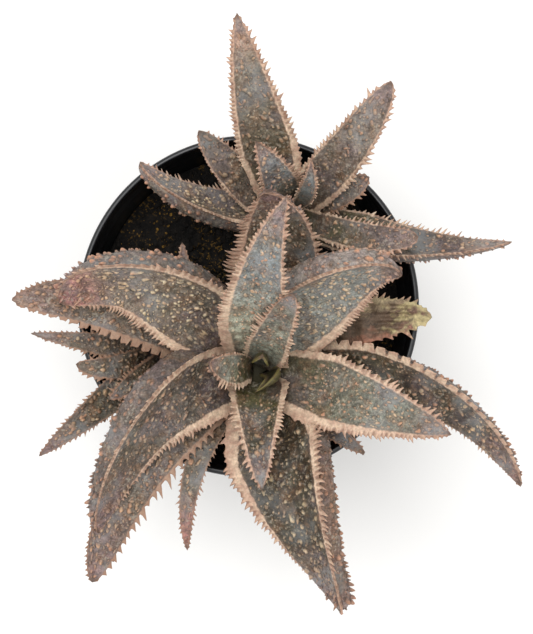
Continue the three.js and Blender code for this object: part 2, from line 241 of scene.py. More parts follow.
# the skin's other colours, besides those that a user would change
SKIN_COLOURS = {
    "violet": "#64565a",        # clouds in the skin
    "rust": "#775940",
    "bloom": "#8b8f90",         # thin wax
    "scurf": "#9c9486",         # rough dry specks
    "fleck": "#a48d69",
    "edge": "#7a6355",          # the skin along a flange
    "bead_hem_shade": "#3a322a",           # painted shade round a tubercle
    "dried": "#5c4637",         # the tip's last millimetre
    "flange_pink": "#ad8c78",
    "groove": "#745443",        # painted shade between a flange's ribs
    "browned_and_shaded": "#8c6a54",       # flanges of the old, low leaves, browned with age and partly darkened as painted shade
    "young": "#686034",         # and of the youngest
    "bead_light": "#d8c6a6",
    "bead_back": "#ba8a6d",
    "torn": "#a87059",          # the withered leaf
    "strip": "#b09e7b",
    "dry": "#a99b72",
}
DUST = "#2c2a28"                # on the pot
SCAR = "#4a3f2e"                # on the stems

# ---- leaves ----

# teeth   kind of teeth
# band    width of the flange a quarter along the leaf
# end     share of the length, which may be past the tip, where it would have narrowed to nothing
Margin = namedtuple("Margin", "teeth band end", defaults=(1.15,))

Leaf = namedtuple("Leaf", "name path levels blade turn form left right warts tones back hollow",
                  defaults=("dull_mauve", CHANNEL))

# path    heading of the tip seen from above in degrees, reach of the tip and of the leaf's middle
#         along it, and how far the middle bows out to the left
# levels  height of the leaf's axis at the stem, in the middle and at the tip
# blade   greatest width across the margins, and depth from the margins to the keel
# turn    roll of the blade at the stem and at the tip (left margin up), and lean of the keel to
#         the left, as a share of the depth
# form    taper, 1 for a straight one and more for one that starts late; share of the width that
#         a blunt tip keeps; share of the length where it is widest; width at the stem
# left    the left margin
# right   the right margin
# warts   kind of tubercles on the upper face
# tones   upper skin at the stem, in the middle and at the tip; deep is painted shade, and the darkest tones, on the low and covered leaves, are partly painted shade
# back    skin of the back
# hollow  hollow of the upper face, in half widths
LEAVES = [
    Leaf("main_core", (75, 2.3, 2.1, 0), (99, 108, 116), (5, 3.7), (0, 0, 0), (6, 0.8),
         ("smooth", 0.3), ("smooth", 0.3), "bare", ("deep", "deep", "deep"), "olive", 1.05),
    Leaf("main_heart", (-96, 5.8, 0.3, 4.1), (101, 112, 115), (5, 3), (30, 55, 0), (1.3, 0.06),
         ("smooth", 0.3), ("smooth", 0.2), "bare", ("deep", "deep", "olive"), "olive"),
    Leaf("main_inner_left", (167, 13.8, 7, 1), (102, 115, 124), (10, 5), (10, 0, 0), (2, 0.3),
         ("comb", 1.5), ("ridge", 0.4), "flecks", ("olive", "sage", "mauve")),
    Leaf("main_inner_right", (66, 24, 13.3, 0.3), (102, 124, 138), (13, 6), (0, 0, 0),
         (1, 0.36, 0.2, 0.9), ("comb", 1.2), ("saw", 1.3), "flecks", ("sage", "sage", "mauve")),
    Leaf("main_front", (-88, 34, 16, -0.5), (98, 117, 119), (18.5, 8), (0, 0, 0),
         (1.05, 0.1, 0.1, 0.9), ("fine", 1.8), ("saw", 2.0), "tan", ("olive", "deep", "mauve")),
    Leaf("main_back", (80.5, 50, 23.5, 4), (99, 135, 150), (22, 8), (0, 0, 0),
         (1.05, 0.04, 0.25, 0.85), ("fine", 3.4, 1.0), ("saw", 1.6, 1.3), "rosy",
         ("cream_green", "blue_grey", "mauve")),
    Leaf("main_right", (-18, 59.5, 33.5, 0.5), (96, 116, 112), (22.5, 8.5), (0, 0, 0), (1.15, 0.05),
         ("saw", 2.1), ("fine", 4.0), "flecks", ("olive_grey", "green_grey", "mauve")),
    Leaf("main_upper_right", (34, 49.5, 31.5, 6), (95, 122, 126), (24, 11), (25, 62, 0.5),
         (1.5, 0.1), ("ridge", 1.8, 1.0), ("fine", 3.2), "cream",
         ("pale_green", "pale_green", "mauve"), "pale_mauve"),
    Leaf("main_upper_left", (161, 61.5, 37.5, -11), (94, 118, 110), (27, 11), (-20, -68, -0.45),
         (1.4, 0.3), ("saw", 3.4), ("saw", 3.2, 1.0), "cream",
         ("dark_brown", "warm_grey", "red_mauve")),
    Leaf("main_lower_left", (-134.5, 68.5, 31, -9.5), (92, 112, 98), (24, 11), (-28, -66, -0.6),
         (1.3, 0.2), ("saw", 4.4, 1.0), ("fine", 2.3, 0.95), "tan",
         ("brown_grey", "dark_brown", "mauve")),
    Leaf("main_back_outer", (88, 51, 33.5, -4), (90, 112, 130), (28, 9), (0, 0, 0), (1.9, 0.15),
         ("comb", 4.2, 1.8), ("comb", 1.8, 1.3), "tan", ("dark_brown", "dark_brown", "mauve")),
    Leaf("main_far_right", (-24, 87, 47, 14), (88, 105, 92), (20, 9), (5, 60, 0.2), (1.1, 0.2),
         ("pads", 3.0, 1.4), ("spines", 1.0, 1.0), "rosy", ("umber", "umber", "mauve")),
    Leaf("main_bottom", (-71.5, 76.5, 39, -4), (88, 112, 96), (33, 12), (0, 70, 0.7),
         (0.95, 0.26, 0.3, 0.65), ("comb", 4.4, 0.95), ("saw", 5.0, 0.9), "pearls",
         ("umber", "umber", "mauve"), "red_grey"),
    Leaf("main_low_left", (-128, 82, 40, -9), (84, 102, 90), (18, 8), (-8, -12, 0), (1.5, 0.38),
         ("hooks", 2.2), ("spines", 0.6, 0.9), "spiny", ("dark_brown", "grey_brown", "mauve")),
    Leaf("main_left_low", (164, 76, 43, -6.5), (84, 105, 104), (20, 8), (0, -10, 0), (1.5, 0.2),
         ("blocks", 3.2, 1.0), ("spines", 1.0, 0.9), "spiny",
         ("grey_brown", "grey_brown", "pink_tan")),
    Leaf("main_withered", (17, 54.5, 30.5, 4.8), (82, 97, 97), (15, 5), (0, 10, 0), (2, 0.32),
         ("saw", 1.2), ("hooks", 0.9), "shrunken", ("brown", "brown", "red_brown")),
    Leaf("main_low_narrow", (-111.5, 58.5, 30.5, -7), (80, 97, 94), (8, 5), (0, 0, 0), (1.5, 0.28),
         ("spines", 0.4), ("spines", 0.4), "spiny", ("dark_brown", "dark_brown", "red_mauve")),
    Leaf("main_low_stub", (-38, 40.5, 23, -0.5), (80, 94, 96), (7, 4), (0, 0, 0), (1.6, 0.35),
         ("comb", 0.6), ("spines", 0.4), "spiny", ("near_black", "near_black", "dark_brown")),
    Leaf("upper_inner_left", (118.5, 21, 9, -1), (96, 120, 132), (12.5, 6), (0, 0, 0), (1.4, 0.08),
         ("fine", 1.2), ("comb", 1.8, 1.3), "rosy", ("green_grey", "blue_grey", "mauve")),
    Leaf("upper_inner_right", (68, 15, 7, -2.5), (95, 116, 124), (5, 4), (0, 0, 0), (1.8, 0.1),
         ("fine", 0.5), ("fine", 0.5), "flecks", ("green_grey", "blue_grey", "mauve")),
    Leaf("upper_back", (105.5, 58, 31.5, 1.5), (92, 114, 124), (18, 7.5), (0, 0, 0), (1.2, 0.06),
         ("fine", 1.8, 1.5), ("saw", 2.4), "tan", ("olive_brown", "stone", "pink_tan")),
    Leaf("upper_right_up", (51.5, 47, 24.5, -2), (90, 112, 118), (14, 7), (0, -5, 0), (1.5, 0.3),
         ("saw", 1.0), ("saw", 1.6), "tan", ("grey_brown", "warm_grey", "mauve")),
    Leaf("upper_right_blunt", (-12, 38, 21.5, -3), (91, 111, 114), (8.5, 5), (0, 0, 0), (2.4, 0.6),
         ("needles", 0.6), ("saw", 0.8), "rosy", ("olive", "grey_brown", "mauve")),
    Leaf("upper_small_right", (24, 25.5, 15.5, -1), (83, 101, 104), (8.5, 4), (0, 0, 0),
         (1.9, 0.3, 0.4, 0.6), ("fine", 0.7), ("comb", 0.7), "spiny",
         ("dark_brown", "grey_brown", "mauve")),
    Leaf("upper_left_small", (138.5, 36, 18.5, 2), (88, 102, 106), (13, 5), (0, 0, 0), (1.4, 0.28),
         ("ridge", 0.9), ("needles", 0.5), "tan", ("grey_brown", "grey_brown", "dark_brown")),
    Leaf("upper_left", (161.5, 47, 27, 4), (87, 99, 102), (13, 7), (42, 58, 0.3), (1.4, 0.2),
         ("ridge", 1.3, 1.3), ("needles", 0.6), "cream", ("grey_brown", "grey_brown", "mauve")),
    Leaf("upper_far_right", (-7.5, 67, 35, -4), (85, 101, 100), (15.5, 7), (-20, -50, -0.2),
         (1.1, 0.06), ("needles", 0.8, 1.0), ("spines", 1.0), "rosy",
         ("olive", "brown_grey", "pink_tan")),
    Leaf("offset_inner", (-139.5, 22, 13.5, 0.5), (84, 99, 104), (6, 3), (0, 0, 0), (1.8, 0.15),
         ("fine", 0.4), ("comb", 0.8), "spiny", ("umber", "dark_brown", "mauve")),
    Leaf("offset_left_down", (-140.5, 49.5, 24, 0), (82, 97, 98), (11, 5), (0, 0, 0), (1.3, 0.15),
         ("spines", 0.6), ("spines", 0.4), "spiny", ("umber", "umber", "mauve")),
    Leaf("offset_left_short", (-171.5, 27.5, 15.5, 2.5), (81, 95, 97), (8, 4), (0, 0, 0),
         (1.6, 0.4), ("saw", 0.4), ("spines", 0.4), "spiny", ("umber", "dark_brown", "grey_brown")),
    Leaf("offset_left_long", (172.5, 41, 20.5, 0.5), (80, 95, 98), (8, 4.5), (0, 0, 0), (1.4, 0.1),
         ("comb", 0.4), ("spines", 0.5), "spiny", ("dark_brown", "grey_brown", "mauve")),
    Leaf("offset_back", (82.5, 33, 19, -2), (79, 90, 91), (6, 3), (0, 0, 0), (1.8, 0.1),
         ("fine", 0.5), ("fine", 0.5), "tan", ("dark_brown", "grey_brown", "mauve")),
]


def linear(colour):
    """An sRGB hex colour as three linear numbers."""
    value = np.array([int(colour[i:i + 2], 16) for i in (1, 3, 5)]) / 255
    low = value / 12.92
    high = ((value + 0.055) / 1.055) ** 2.4
    return np.where(value <= 0.04045, low, high)


def rgba(colour):
    """An sRGB hex colour as three linear numbers and full opacity."""
    return (*linear(colour), 1.0)


# ---- numbers on whole arrays ----


def smoothstep(value, low, high):
    """0 below low, 1 above high, and between them three times the square of the share of the
    way less twice its cube."""
    share = np.clip((value - low) / (high - low), 0, 1)
    return share * share * (3 - 2 * share)


def draws(i, j, seed, which):
    """Repeatable draws between 0 and 1 for whole arrays of cell numbers: their bits multiplied
    by large odd numbers and folded over themselves."""
    mask = np.uint64(0xFFFFFFFF)
    bits = (i.astype(np.int64) * 374761393 + j.astype(np.int64) * 668265263
            + seed * 362437 + which * 1013904223).astype(np.uint64) & mask
    bits = ((bits ^ (bits >> np.uint64(13))) * np.uint64(1274126177)) & mask
    bits = ((bits ^ (bits >> np.uint64(15))) * np.uint64(2246822519)) & mask
    return (bits ^ (bits >> np.uint64(16))) / 4294967296.0


def waves(x, y, length, seed):
    """A smooth field between about -1 and 1: the sum of five plane waves of about the given
    length, each with its own direction and phase, over 2.5."""
    total = np.zeros(np.broadcast(x, y).shape)
    for k in range(5):
        draw = [float(draws(np.array(k), np.array(n), seed, 7)) for n in range(3)]
        angle = 2 * np.pi * draw[0]
        turns = 2 * np.pi / (length * (0.7 + 0.8 * draw[1]))
        total = total + np.sin(turns * (x * np.cos(angle) + y * np.sin(angle)) + 6.3 * draw[2])
    return total / 2.5


def beads(x, y, pitch, share, size, sharp, seed, stretch=1.22):
    """Height from 0 to about 1 of beads strewn on a plane: one centre in each square cell of a
    grid, moved about inside it, and round it one less the squared distance over the squared
    radius, to the power `sharp`, with distances along x divided by `stretch`; the highest of
    the nine nearest cells counts. Beads longer than twice their width rise towards +x, like a
    lying thorn."""
    height = np.zeros(np.broadcast(x, y).shape)
    column = np.floor(x / pitch)
    line = np.floor(y / pitch)
    for di in (-1, 0, 1):
        for dj in (-1, 0, 1):
            i, j = column + di, line + dj
            centre_x = (i + 0.1 + 0.8 * draws(i, j, seed, 1)) * pitch
            centre_y = (j + 0.1 + 0.8 * draws(i, j, seed, 2)) * pitch
            draw = draws(i, j, seed, 4)
            radius = size * (0.5 + draw ** 2)
            ahead = (x - centre_x) / stretch
            near = 1 - (ahead ** 2 + (y - centre_y) ** 2) / radius ** 2
            rise = np.clip(near, 0, 1) ** sharp * (0.55 + 0.6 * draw)
            if stretch > 2:
                rise = rise * np.clip(0.6 + 0.7 * ahead / radius, 0.1, 1)
            rise = rise * (draws(i, j, seed, 3) < share)
            height = np.maximum(height, rise)
    return height


def saw(position, pitch, peak, breadth, seed):
    """Teeth along a line: in each cell one tooth with its own length and place, about
    `breadth` times as wide as the cell, that rises ever more steeply up to the share `peak` of
    its width and drops after it. The higher of the three nearest cells' teeth counts."""
    height = np.zeros_like(position)
    cell = np.floor(position / pitch)
    zero = np.zeros_like(cell)
    for step in (-1, 0, 1):
        i = cell + step
        centre = (i + 0.25 + 0.5 * draws(i, zero, seed, 11)) * pitch
        width = breadth * pitch * (0.85 + 0.35 * draws(i, zero, seed, 12))
        share = (position - centre) / width + 0.5
        front = np.clip(share / peak, 0, 1) ** 1.6
        rear = np.clip((1 - share) / (1 - peak), 0, 1)
        tooth = np.where(share < peak, front, rear) * (share > 0) * (share < 1)
        height = np.maximum(height, tooth * (0.3 + 0.8 * draws(i, zero, seed, 13)))
    return height


def blocks(position, pitch, seed):
    """Blocks along a line with narrow slots between them: in each cell 1 along a share of its
    width that the cell draws, with soft ends, and 0 in the slot."""
    cell = np.floor(position / pitch)
    zero = np.zeros_like(cell)
    share = position / pitch - cell
    start = 0.02 + 0.14 * draws(cell, zero, seed, 21)
    end = 0.78 + 0.14 * draws(cell, zero, seed, 22)
    rise = smoothstep(share, start, start + 0.12)
    return rise * (1 - smoothstep(share, end, end + 0.1)) * (0.7 + 0.3 * share)


# ---- meshes ----


def mesh_object(name, points, faces, attributes=None, smooth=True):
    """An object at the origin from points in millimetres (n, 3) and a list of face arrays
    (m, corners), with one number or three, such as a colour, a point for each attribute."""
    mesh = bpy.data.meshes.new(name)
    corners = np.concatenate([f.ravel() for f in faces]).astype(np.int32)
    sizes = np.concatenate([np.full(len(f), f.shape[1]) for f in faces])
    starts = np.concatenate([[0], np.cumsum(sizes)[:-1]]).astype(np.int32)
    mesh.vertices.add(len(points))
    mesh.vertices.foreach_set("co", (points * MM).astype(np.float32).ravel())
    mesh.loops.add(len(corners))
    mesh.loops.foreach_set("vertex_index", corners)
    mesh.polygons.add(len(sizes))
    mesh.polygons.foreach_set("loop_start", starts)
    mesh.polygons.foreach_set("use_smooth", np.full(len(sizes), smooth))
    mesh.update(calc_edges=True)
    for key, values in (attributes or {}).items():
        if values.ndim == 1:
            made = mesh.attributes.new(key, "FLOAT", "POINT")
            made.data.foreach_set("value", values.astype(np.float32))
        else:
            made = mesh.attributes.new(key, "FLOAT_VECTOR", "POINT")
            made.data.foreach_set("vector", values.astype(np.float32).ravel())
    mesh.validate()
    shaped = bpy.data.objects.new(name, mesh)
    bpy.context.scene.collection.objects.link(shaped)
    return shaped


def repeated(faces, size, count):
    """The faces of a form of `size` points, for `count` copies of it one after another."""
    offsets = size * np.arange(count)[:, None, None]
    return [(part[None] + offsets).reshape(-1, part.shape[1]) for part in faces]


def tube_faces(rows, columns):
    """The four-cornered faces of a grid whose columns close in a ring."""
    row, column = np.meshgrid(np.arange(rows - 1), np.arange(columns), indexing="ij")
    beside = (column + 1) % columns
    a, b = row * columns + column, row * columns + beside
    return np.stack([a, b, b + columns, a + columns], axis=-1).reshape(-1, 4)


def cap_faces(rows, columns):
    """The triangles that close a tube at its two ends with one point each, which follow the
    grid's own points: first the start's, then the end's."""
    k = np.arange(columns)
    beside = (k + 1) % columns
    start = rows * columns
    last = (rows - 1) * columns
    first_cap = np.stack([np.full(columns, start), beside, k], axis=-1)
    last_cap = np.stack([np.full(columns, start + 1), last + k, last + beside], axis=-1)
    return np.concatenate([first_cap, last_cap])


def turned(profile, sides):
    """Points and faces of a closed profile of radius and height pairs, turned about the vertical
    axis. The profile starts and ends on the axis, where it closes to one point."""
    angle = np.linspace(0, 2 * np.pi, sides, endpoint=False)
    ring = profile[1:-1]
    points = np.stack([
        ring[:, :1] * np.cos(angle),
        ring[:, :1] * np.sin(angle),
        np.repeat(ring[:, 1:], sides, axis=1),
    ], axis=-1).reshape(-1, 3)
    poles = np.array([[0, 0, profile[0, 1]], [0, 0, profile[-1, 1]]])
    rows = len(ring)
    return np.concatenate([points, poles]), [tube_faces(rows, sides), cap_faces(rows, sides)]


def quadratic(start, pull, end, t):
    """Points at shares t of the quadratic curve between two ends, drawn towards a pull point."""
    return (1 - t) ** 2 * start + 2 * t * (1 - t) * pull + t ** 2 * end


def rounded(corners, radius, steps=5):
    """A profile with each inner corner cut by a short curve: the quadratic curve from a point
    `radius` before the corner, pulled by the corner, to a point `radius` after it."""
    corners = np.array(corners, float)
    out = [corners[:1]]
    t = np.linspace(0, 1, steps)[:, None]
    for before, corner, after in zip(corners[:-2], corners[1:-1], corners[2:]):
        back, on = before - corner, after - corner
        reach = min(radius, 0.45 * np.linalg.norm(back), 0.45 * np.linalg.norm(on))
        start = corner + back / np.linalg.norm(back) * reach
        end = corner + on / np.linalg.norm(on) * reach
        out.append(quadratic(start, corner, end, t))
    out.append(corners[-1:])
    return np.concatenate(out)


# ---- leaf form ----

# What the rows of a leaf's grid share: the two margins, and columns of one number for each row.
# t         share of the axis, 0 at the stem to 1 at the tip
# distance  distance along the axis
# half      half the blade's width
# depth     depth from the margins to the keel
# root      thickness of the flanges where they meet the leaf
# margins   the left margin under 1 and the right one under -1
# bands     width of their flanges
# centre    how far the upper face's middle lies left of the axis
# body      half the width between the flanges
# bare      0 where neighbours cover the leaf, 1 beyond
Rows = namedtuple("Rows", "t distance half depth root margins bands centre body bare")


def heading_vector(degrees):
    """The level unit vector turned this many degrees from +X towards +Y."""
    angle = np.radians(degrees)
    return np.array([np.cos(angle), np.sin(angle), 0.0])


def unit(vectors):
    """Vectors over their lengths."""
    return vectors / np.maximum(np.linalg.norm(vectors, axis=-1, keepdims=True), 1e-9)


def leaf_axis(leaf, t):
    """Points of a leaf's axis at a column of shares t, its unit tangents, and unit vectors to its
    left and up, rolled. The axis is the quadratic curve from the stem, through the middle at a
    half, to the tip: its pull point is twice the middle less the mean of the two ends."""
    stem = STEMS[leaf.name.split("_")[0]]
    heading, reach, middle_reach, bow = leaf.path
    ahead, aside = heading_vector(heading), heading_vector(heading + 90)
    centre = np.array([stem.x, stem.y, 0.0])
    middle = centre + ahead * middle_reach + aside * bow
    outward = (middle - centre) / np.linalg.norm(middle - centre)
    base = centre + outward * BASE_REACH + [0, 0, leaf.levels[0]]
    middle = middle + [0, 0, leaf.levels[1]]
    tip = centre + ahead * reach + [0, 0, leaf.levels[2]]
    pull = 2 * middle - (base + tip) / 2
    along = unit(2 * (1 - t) * (pull - base) + 2 * t * (tip - pull))
    side = unit(aside - (along @ aside)[:, None] * along)
    up = np.cross(along, side)
    roll = np.radians(leaf.turn[0] + (leaf.turn[1] - leaf.turn[0]) * t)
    left = side * np.cos(roll) + up * np.sin(roll)
    above = up * np.cos(roll) - side * np.sin(roll)
    return quadratic(base, pull, tip, t), along, left, above


def width_share(t, form):
    """Share of the full width: it rises smoothly from the stem to the shoulder. Beyond it a part
    is one less the share beyond the shoulder to the power of the taper, and the blunt part is
    the root of one less that share to a high power, so it holds and then rounds off late."""
    taper, blunt, shoulder, foot = form + (SHOULDER, BASE_SHARE)[len(form) - 2:]
    rise = foot + (1 - foot) * smoothstep(t, 0, shoulder)
    beyond = np.clip((t - shoulder) / (1 - shoulder), 0, 1)
    tapered = (1 - beyond ** taper) ** TIP_POWER
    return rise * ((1 - blunt) * tapered + blunt * np.sqrt(1 - beyond ** END_POWER))


def flange_width(t, half, margin):
    """Width of a margin's flange at each row: its given width times a power of the share of the
    way that is left to its end. It never takes more than its share of the half width."""
    left = np.clip((margin.end - t) / (margin.end - BAND_FROM), 0, 1.1)
    width = np.maximum(margin.band * left ** BAND_POWER, min(LEAST_BAND, margin.band))
    return np.minimum(width, BAND_SHARE * half)


def leaf_rows(leaf):
    """The rows of a leaf's grid, in wide steps where the leaf is covered and in even fine ones
    beyond. Depth follows the width by a power."""
    even = np.linspace(0, 1, AXIS_STEPS)
    point = leaf_axis(leaf, even[:, None])[0]
    walked = np.concatenate([[0], np.cumsum(np.linalg.norm(np.diff(point, axis=0), axis=1))])
    turn = np.interp(BURIED_SHARE, even, walked)
    end = np.interp(LAST_ROW, even, walked)
    covered = np.linspace(0, turn, max(4, round(turn / BURIED_STEP)), endpoint=False)
    open_part = np.linspace(turn, end, max(12, round((end - turn) / ROW_STEP)))
    distance = np.concatenate([covered, open_part])[:, None]
    t = np.interp(distance, walked, even)
    share = width_share(t, leaf.form)
    half = leaf.blade[0] / 2 * share
    depth = leaf.blade[1] * share ** DEPTH_POWER
    margins = {1: Margin(*leaf.left), -1: Margin(*leaf.right)}
    bands = {side: flange_width(t, half, margin) for side, margin in margins.items()}
    return Rows(t, distance, half, depth, root=np.minimum(BAND_ROOT, ROOT_SHARE * depth),
                margins=margins, bands=bands, centre=(bands[-1] - bands[1]) / 2,
                body=half - (bands[1] + bands[-1]) / 2,
                bare=smoothstep(t, 0.8 * BURIED_SHARE, 1.5 * BURIED_SHARE))


def margin_teeth(rows, side, seed):
    """How far a margin's teeth stand out, in millimetres, at each row, and how near the row is
    to the crest of a tooth, 0 to 1. Single teeth, or where they stand in groups blocks with a
    toothed edge, with slots between them that cut back into the flange. They are short near the
    stem, at the narrow tip and where the flange fades."""
    t, distance, band, end = rows.t, rows.distance, rows.bands[side], rows.margins[side].end
    teeth = TEETH[rows.margins[side].teeth]
    single = saw(distance, teeth.pitch, TOOTH_PEAK, teeth.width, seed)
    block = blocks(distance, GROUP_PITCH, seed + 50)
    least = min(LEAST_TOOTH, teeth.tooth) * (t < LAST_TOOTH)
    length = np.maximum(np.minimum(teeth.tooth, rows.half * TOOTH_SHARE), least)
    length = length * (0.4 + 0.6 * smoothstep(t, BURIED_SHARE, 0.45))
    length = length * (1 - 0.25 * smoothstep(t, end - 0.3, end))
    length = length * (1 + CLUSTER_SHARE * waves(distance, 0 * distance, CLUSTER, seed + 70))
    grouped = length * (0.45 + 0.65 * single) * block - SLOT_CUT * band * (1 - block)
    single_edge = length * single - teeth.cut * band * (1 - single)
    reach = (1 - teeth.groups) * single_edge + teeth.groups * grouped
    crest = (1 - teeth.groups) * single + teeth.groups * block * (0.7 + 0.3 * single)
    return reach, np.clip(crest, 0, 1)


# Each strip of the skin gives five arrays of rows and columns: the place across the blade, above its
# axis and forward along it, the way out past the upper face's edge, negative inside, and how deep the
# point lies between a flange's ribs, which sets the painted shade there.


def flange_strip(rows, side, below, seed):
    """A flange from above or below: straight out, thinning by a power from its root to its edge,
    its reach following the teeth. It curls up with the square of the way out, sways, is swollen
    in the middle, and its teeth lean towards the tip, each with a rib."""
    w = np.linspace(0, 1, BAND_COLUMNS)[None, :]
    band = rows.bands[side]
    teeth, crest = margin_teeth(rows, side, seed * 3 + 7 + 2 * side)
    crest = crest * rows.bare
    reach = np.maximum(band + teeth, 0.05)
    sway = SWAY * waves(rows.distance, 0 * rows.distance, SWAY_LENGTH, seed)
    thick = BAND_EDGE + (rows.root - BAND_EDGE) * (1 - w) ** EDGE_POWER
    lift = (CURL * reach * w ** 2 + sway * side * w
            + SWELLING * np.minimum(1, band / 2) * np.sin(np.pi * w) * (1 - w)
            + TOOTH_RISE * np.clip(teeth, 0, 1) * w)
    smooth = np.clip(1 - RIB_REACH / reach, 0, 0.6)
    relief = TEETH[rows.margins[side].teeth].rib * np.minimum(1, reach)
    rib = relief * (crest - 0.35 * rows.bare) * smoothstep(w, smooth, 1.0) * (1.2 - w)
    ahead = TOOTH_LEAN * np.clip(teeth, 0, None) * (1 - smoothstep(rows.t, 0.88, 0.99)) * w ** 2
    # how deep the point lies between the ribs, for the painted shade there
    groove = (rows.bare - crest) * smoothstep(w, smooth, smooth + 0.5)
    across = side * (rows.half - band + reach * w)
    return across, lift + rib - (thick if below else 0), ahead, reach * w, groove


def face_strip(rows, leaf, seed):
    """The upper face: a shallow trough, its hollow times one less the square of the share across,
    with low waves and, on a shrunken leaf, folds drawn out along it."""
    count = int(np.clip(leaf.blade[0] / COLUMN_STEP, 24, 90))
    x = np.linspace(1, -1, count + 2)[None, 1:-1]
    across = rows.centre + rows.body * x
    folds = WARTS[leaf.warts].folds * rows.bare
    uneven = (FACE_WAVE * waves(rows.distance, across, FACE_WAVE_LENGTH, seed + 3)
              + folds * waves(FOLD_DRAW * rows.distance, across, FOLD_WIDTH, seed + 4))
    upwards = uneven * (1 - x ** 4) - leaf.hollow * rows.half * (1 - x ** 2)
    none = np.zeros_like(across)
    return across, upwards, none, rows.body * (np.abs(x) - 1), none


def back_strip(rows, leaf):
    """The back: half an ellipse, drawn towards two straight sides and a keel near the tip."""
    count = int(np.clip(BACK_COLUMNS * leaf.blade[0] / COLUMN_STEP, 30, 120))
    theta = np.linspace(np.pi, 0, count + 2)[None, 1:-1]
    keel = KEEL_SHARE * smoothstep(rows.t, 0.4, 0.95)
    drop = (1 - keel) * np.sin(theta) + keel * (1 - np.abs(np.cos(theta)))
    across = rows.centre + rows.body * np.cos(theta) + leaf.turn[2] * drop * rows.depth
    upwards = -rows.root - (rows.depth - rows.root) * drop
    none = np.zeros_like(across)
    return across, upwards, none, -0.6 * np.sin(theta) * (rows.body + rows.depth), none


def tubercles(rows, warts, girth, rim, counts, seed):
    """Heights from 0 to about 1 of the tubercles on the upper face and on the back, and of the
    long hooks among them: beads strewn in millimetres along the leaf and across its skin, large
    and small ones on the face. None stand on the flanges, near them or at the stem."""
    t, lane = rows.t, rows.distance
    is_face, is_back = (np.repeat(np.arange(6) == n, counts)[None, :] for n in (FACE, BACK))
    face_across, back_across = (
        girth - girth[:, [np.cumsum(counts)[n] - counts[n] // 2]] for n in (FACE, BACK))
    free = (warts.bump > 0) * smoothstep(-rim, 0.15, 0.7) * smoothstep(t, 0.08, 0.25)
    uneven = BEAD_WARP * waves(lane, face_across, 2.2, seed + 12)
    large = beads(lane + uneven, face_across - uneven, warts.pitch, 0.8, warts.radius, 0.9,
                  seed + 20)
    small = beads(lane - uneven, face_across, SMALL_PITCH * warts.pitch, 0.4,
                  SMALL_RADIUS * warts.radius, 0.9, seed + 30)
    small = SMALL_HEIGHT * small * (1 - 0.6 * smoothstep(t, 0.75, 0.95))
    hook = beads(lane, face_across, HOOK_PITCH, 0.5, HOOK_BEAD, 1.0, seed + 60, HOOK_STRETCH)
    hook = hook * is_face * free * smoothstep(t, 0.3, 0.6)
    on_face = np.maximum(np.maximum(large, small) * is_face * free, hook)
    on_back = beads(lane, back_across, BACK_PITCH, 0.8, BACK_BEAD, 1.3, seed + 40)
    on_back = on_back * is_back * free * (0.45 + 0.55 * smoothstep(t, 0.3, 0.6))
    return on_face, on_back, hook


def closed(values, first, last):
    """Values of the grid's points in a row, and after them those of the two closing points."""
    return np.concatenate([values.reshape(-1, *values.shape[2:]), [first, last]])


def leaf_tones(leaf, t, under):
    """Skin colours: the stem's tone, the middle's and the tip's, blended smoothly along the leaf,
    with the back's tone below, and darker down at the stem as painted shade, where the neighbours
    cover the leaf."""
    stem, middle, tip, back = (linear(TONES[tone]) for tone in (*leaf.tones, leaf.back))
    t = t[..., None]
    tone = stem + (middle - stem) * smoothstep(t, 0.2, 0.58)
    tone = tone + (tip - tone) * smoothstep(t, 0.66, 0.97)
    tone = tone + (back - tone) * under[..., None] * (1 - 0.6 * smoothstep(t, 0.7, 1))
    # painted shade: darker down at the stem, and at the point that closes the leaf there
    tone = tone * (0.45 + 0.55 * smoothstep(t, 0.02, 0.16))
    return closed(tone, 0.4 * stem, tip)


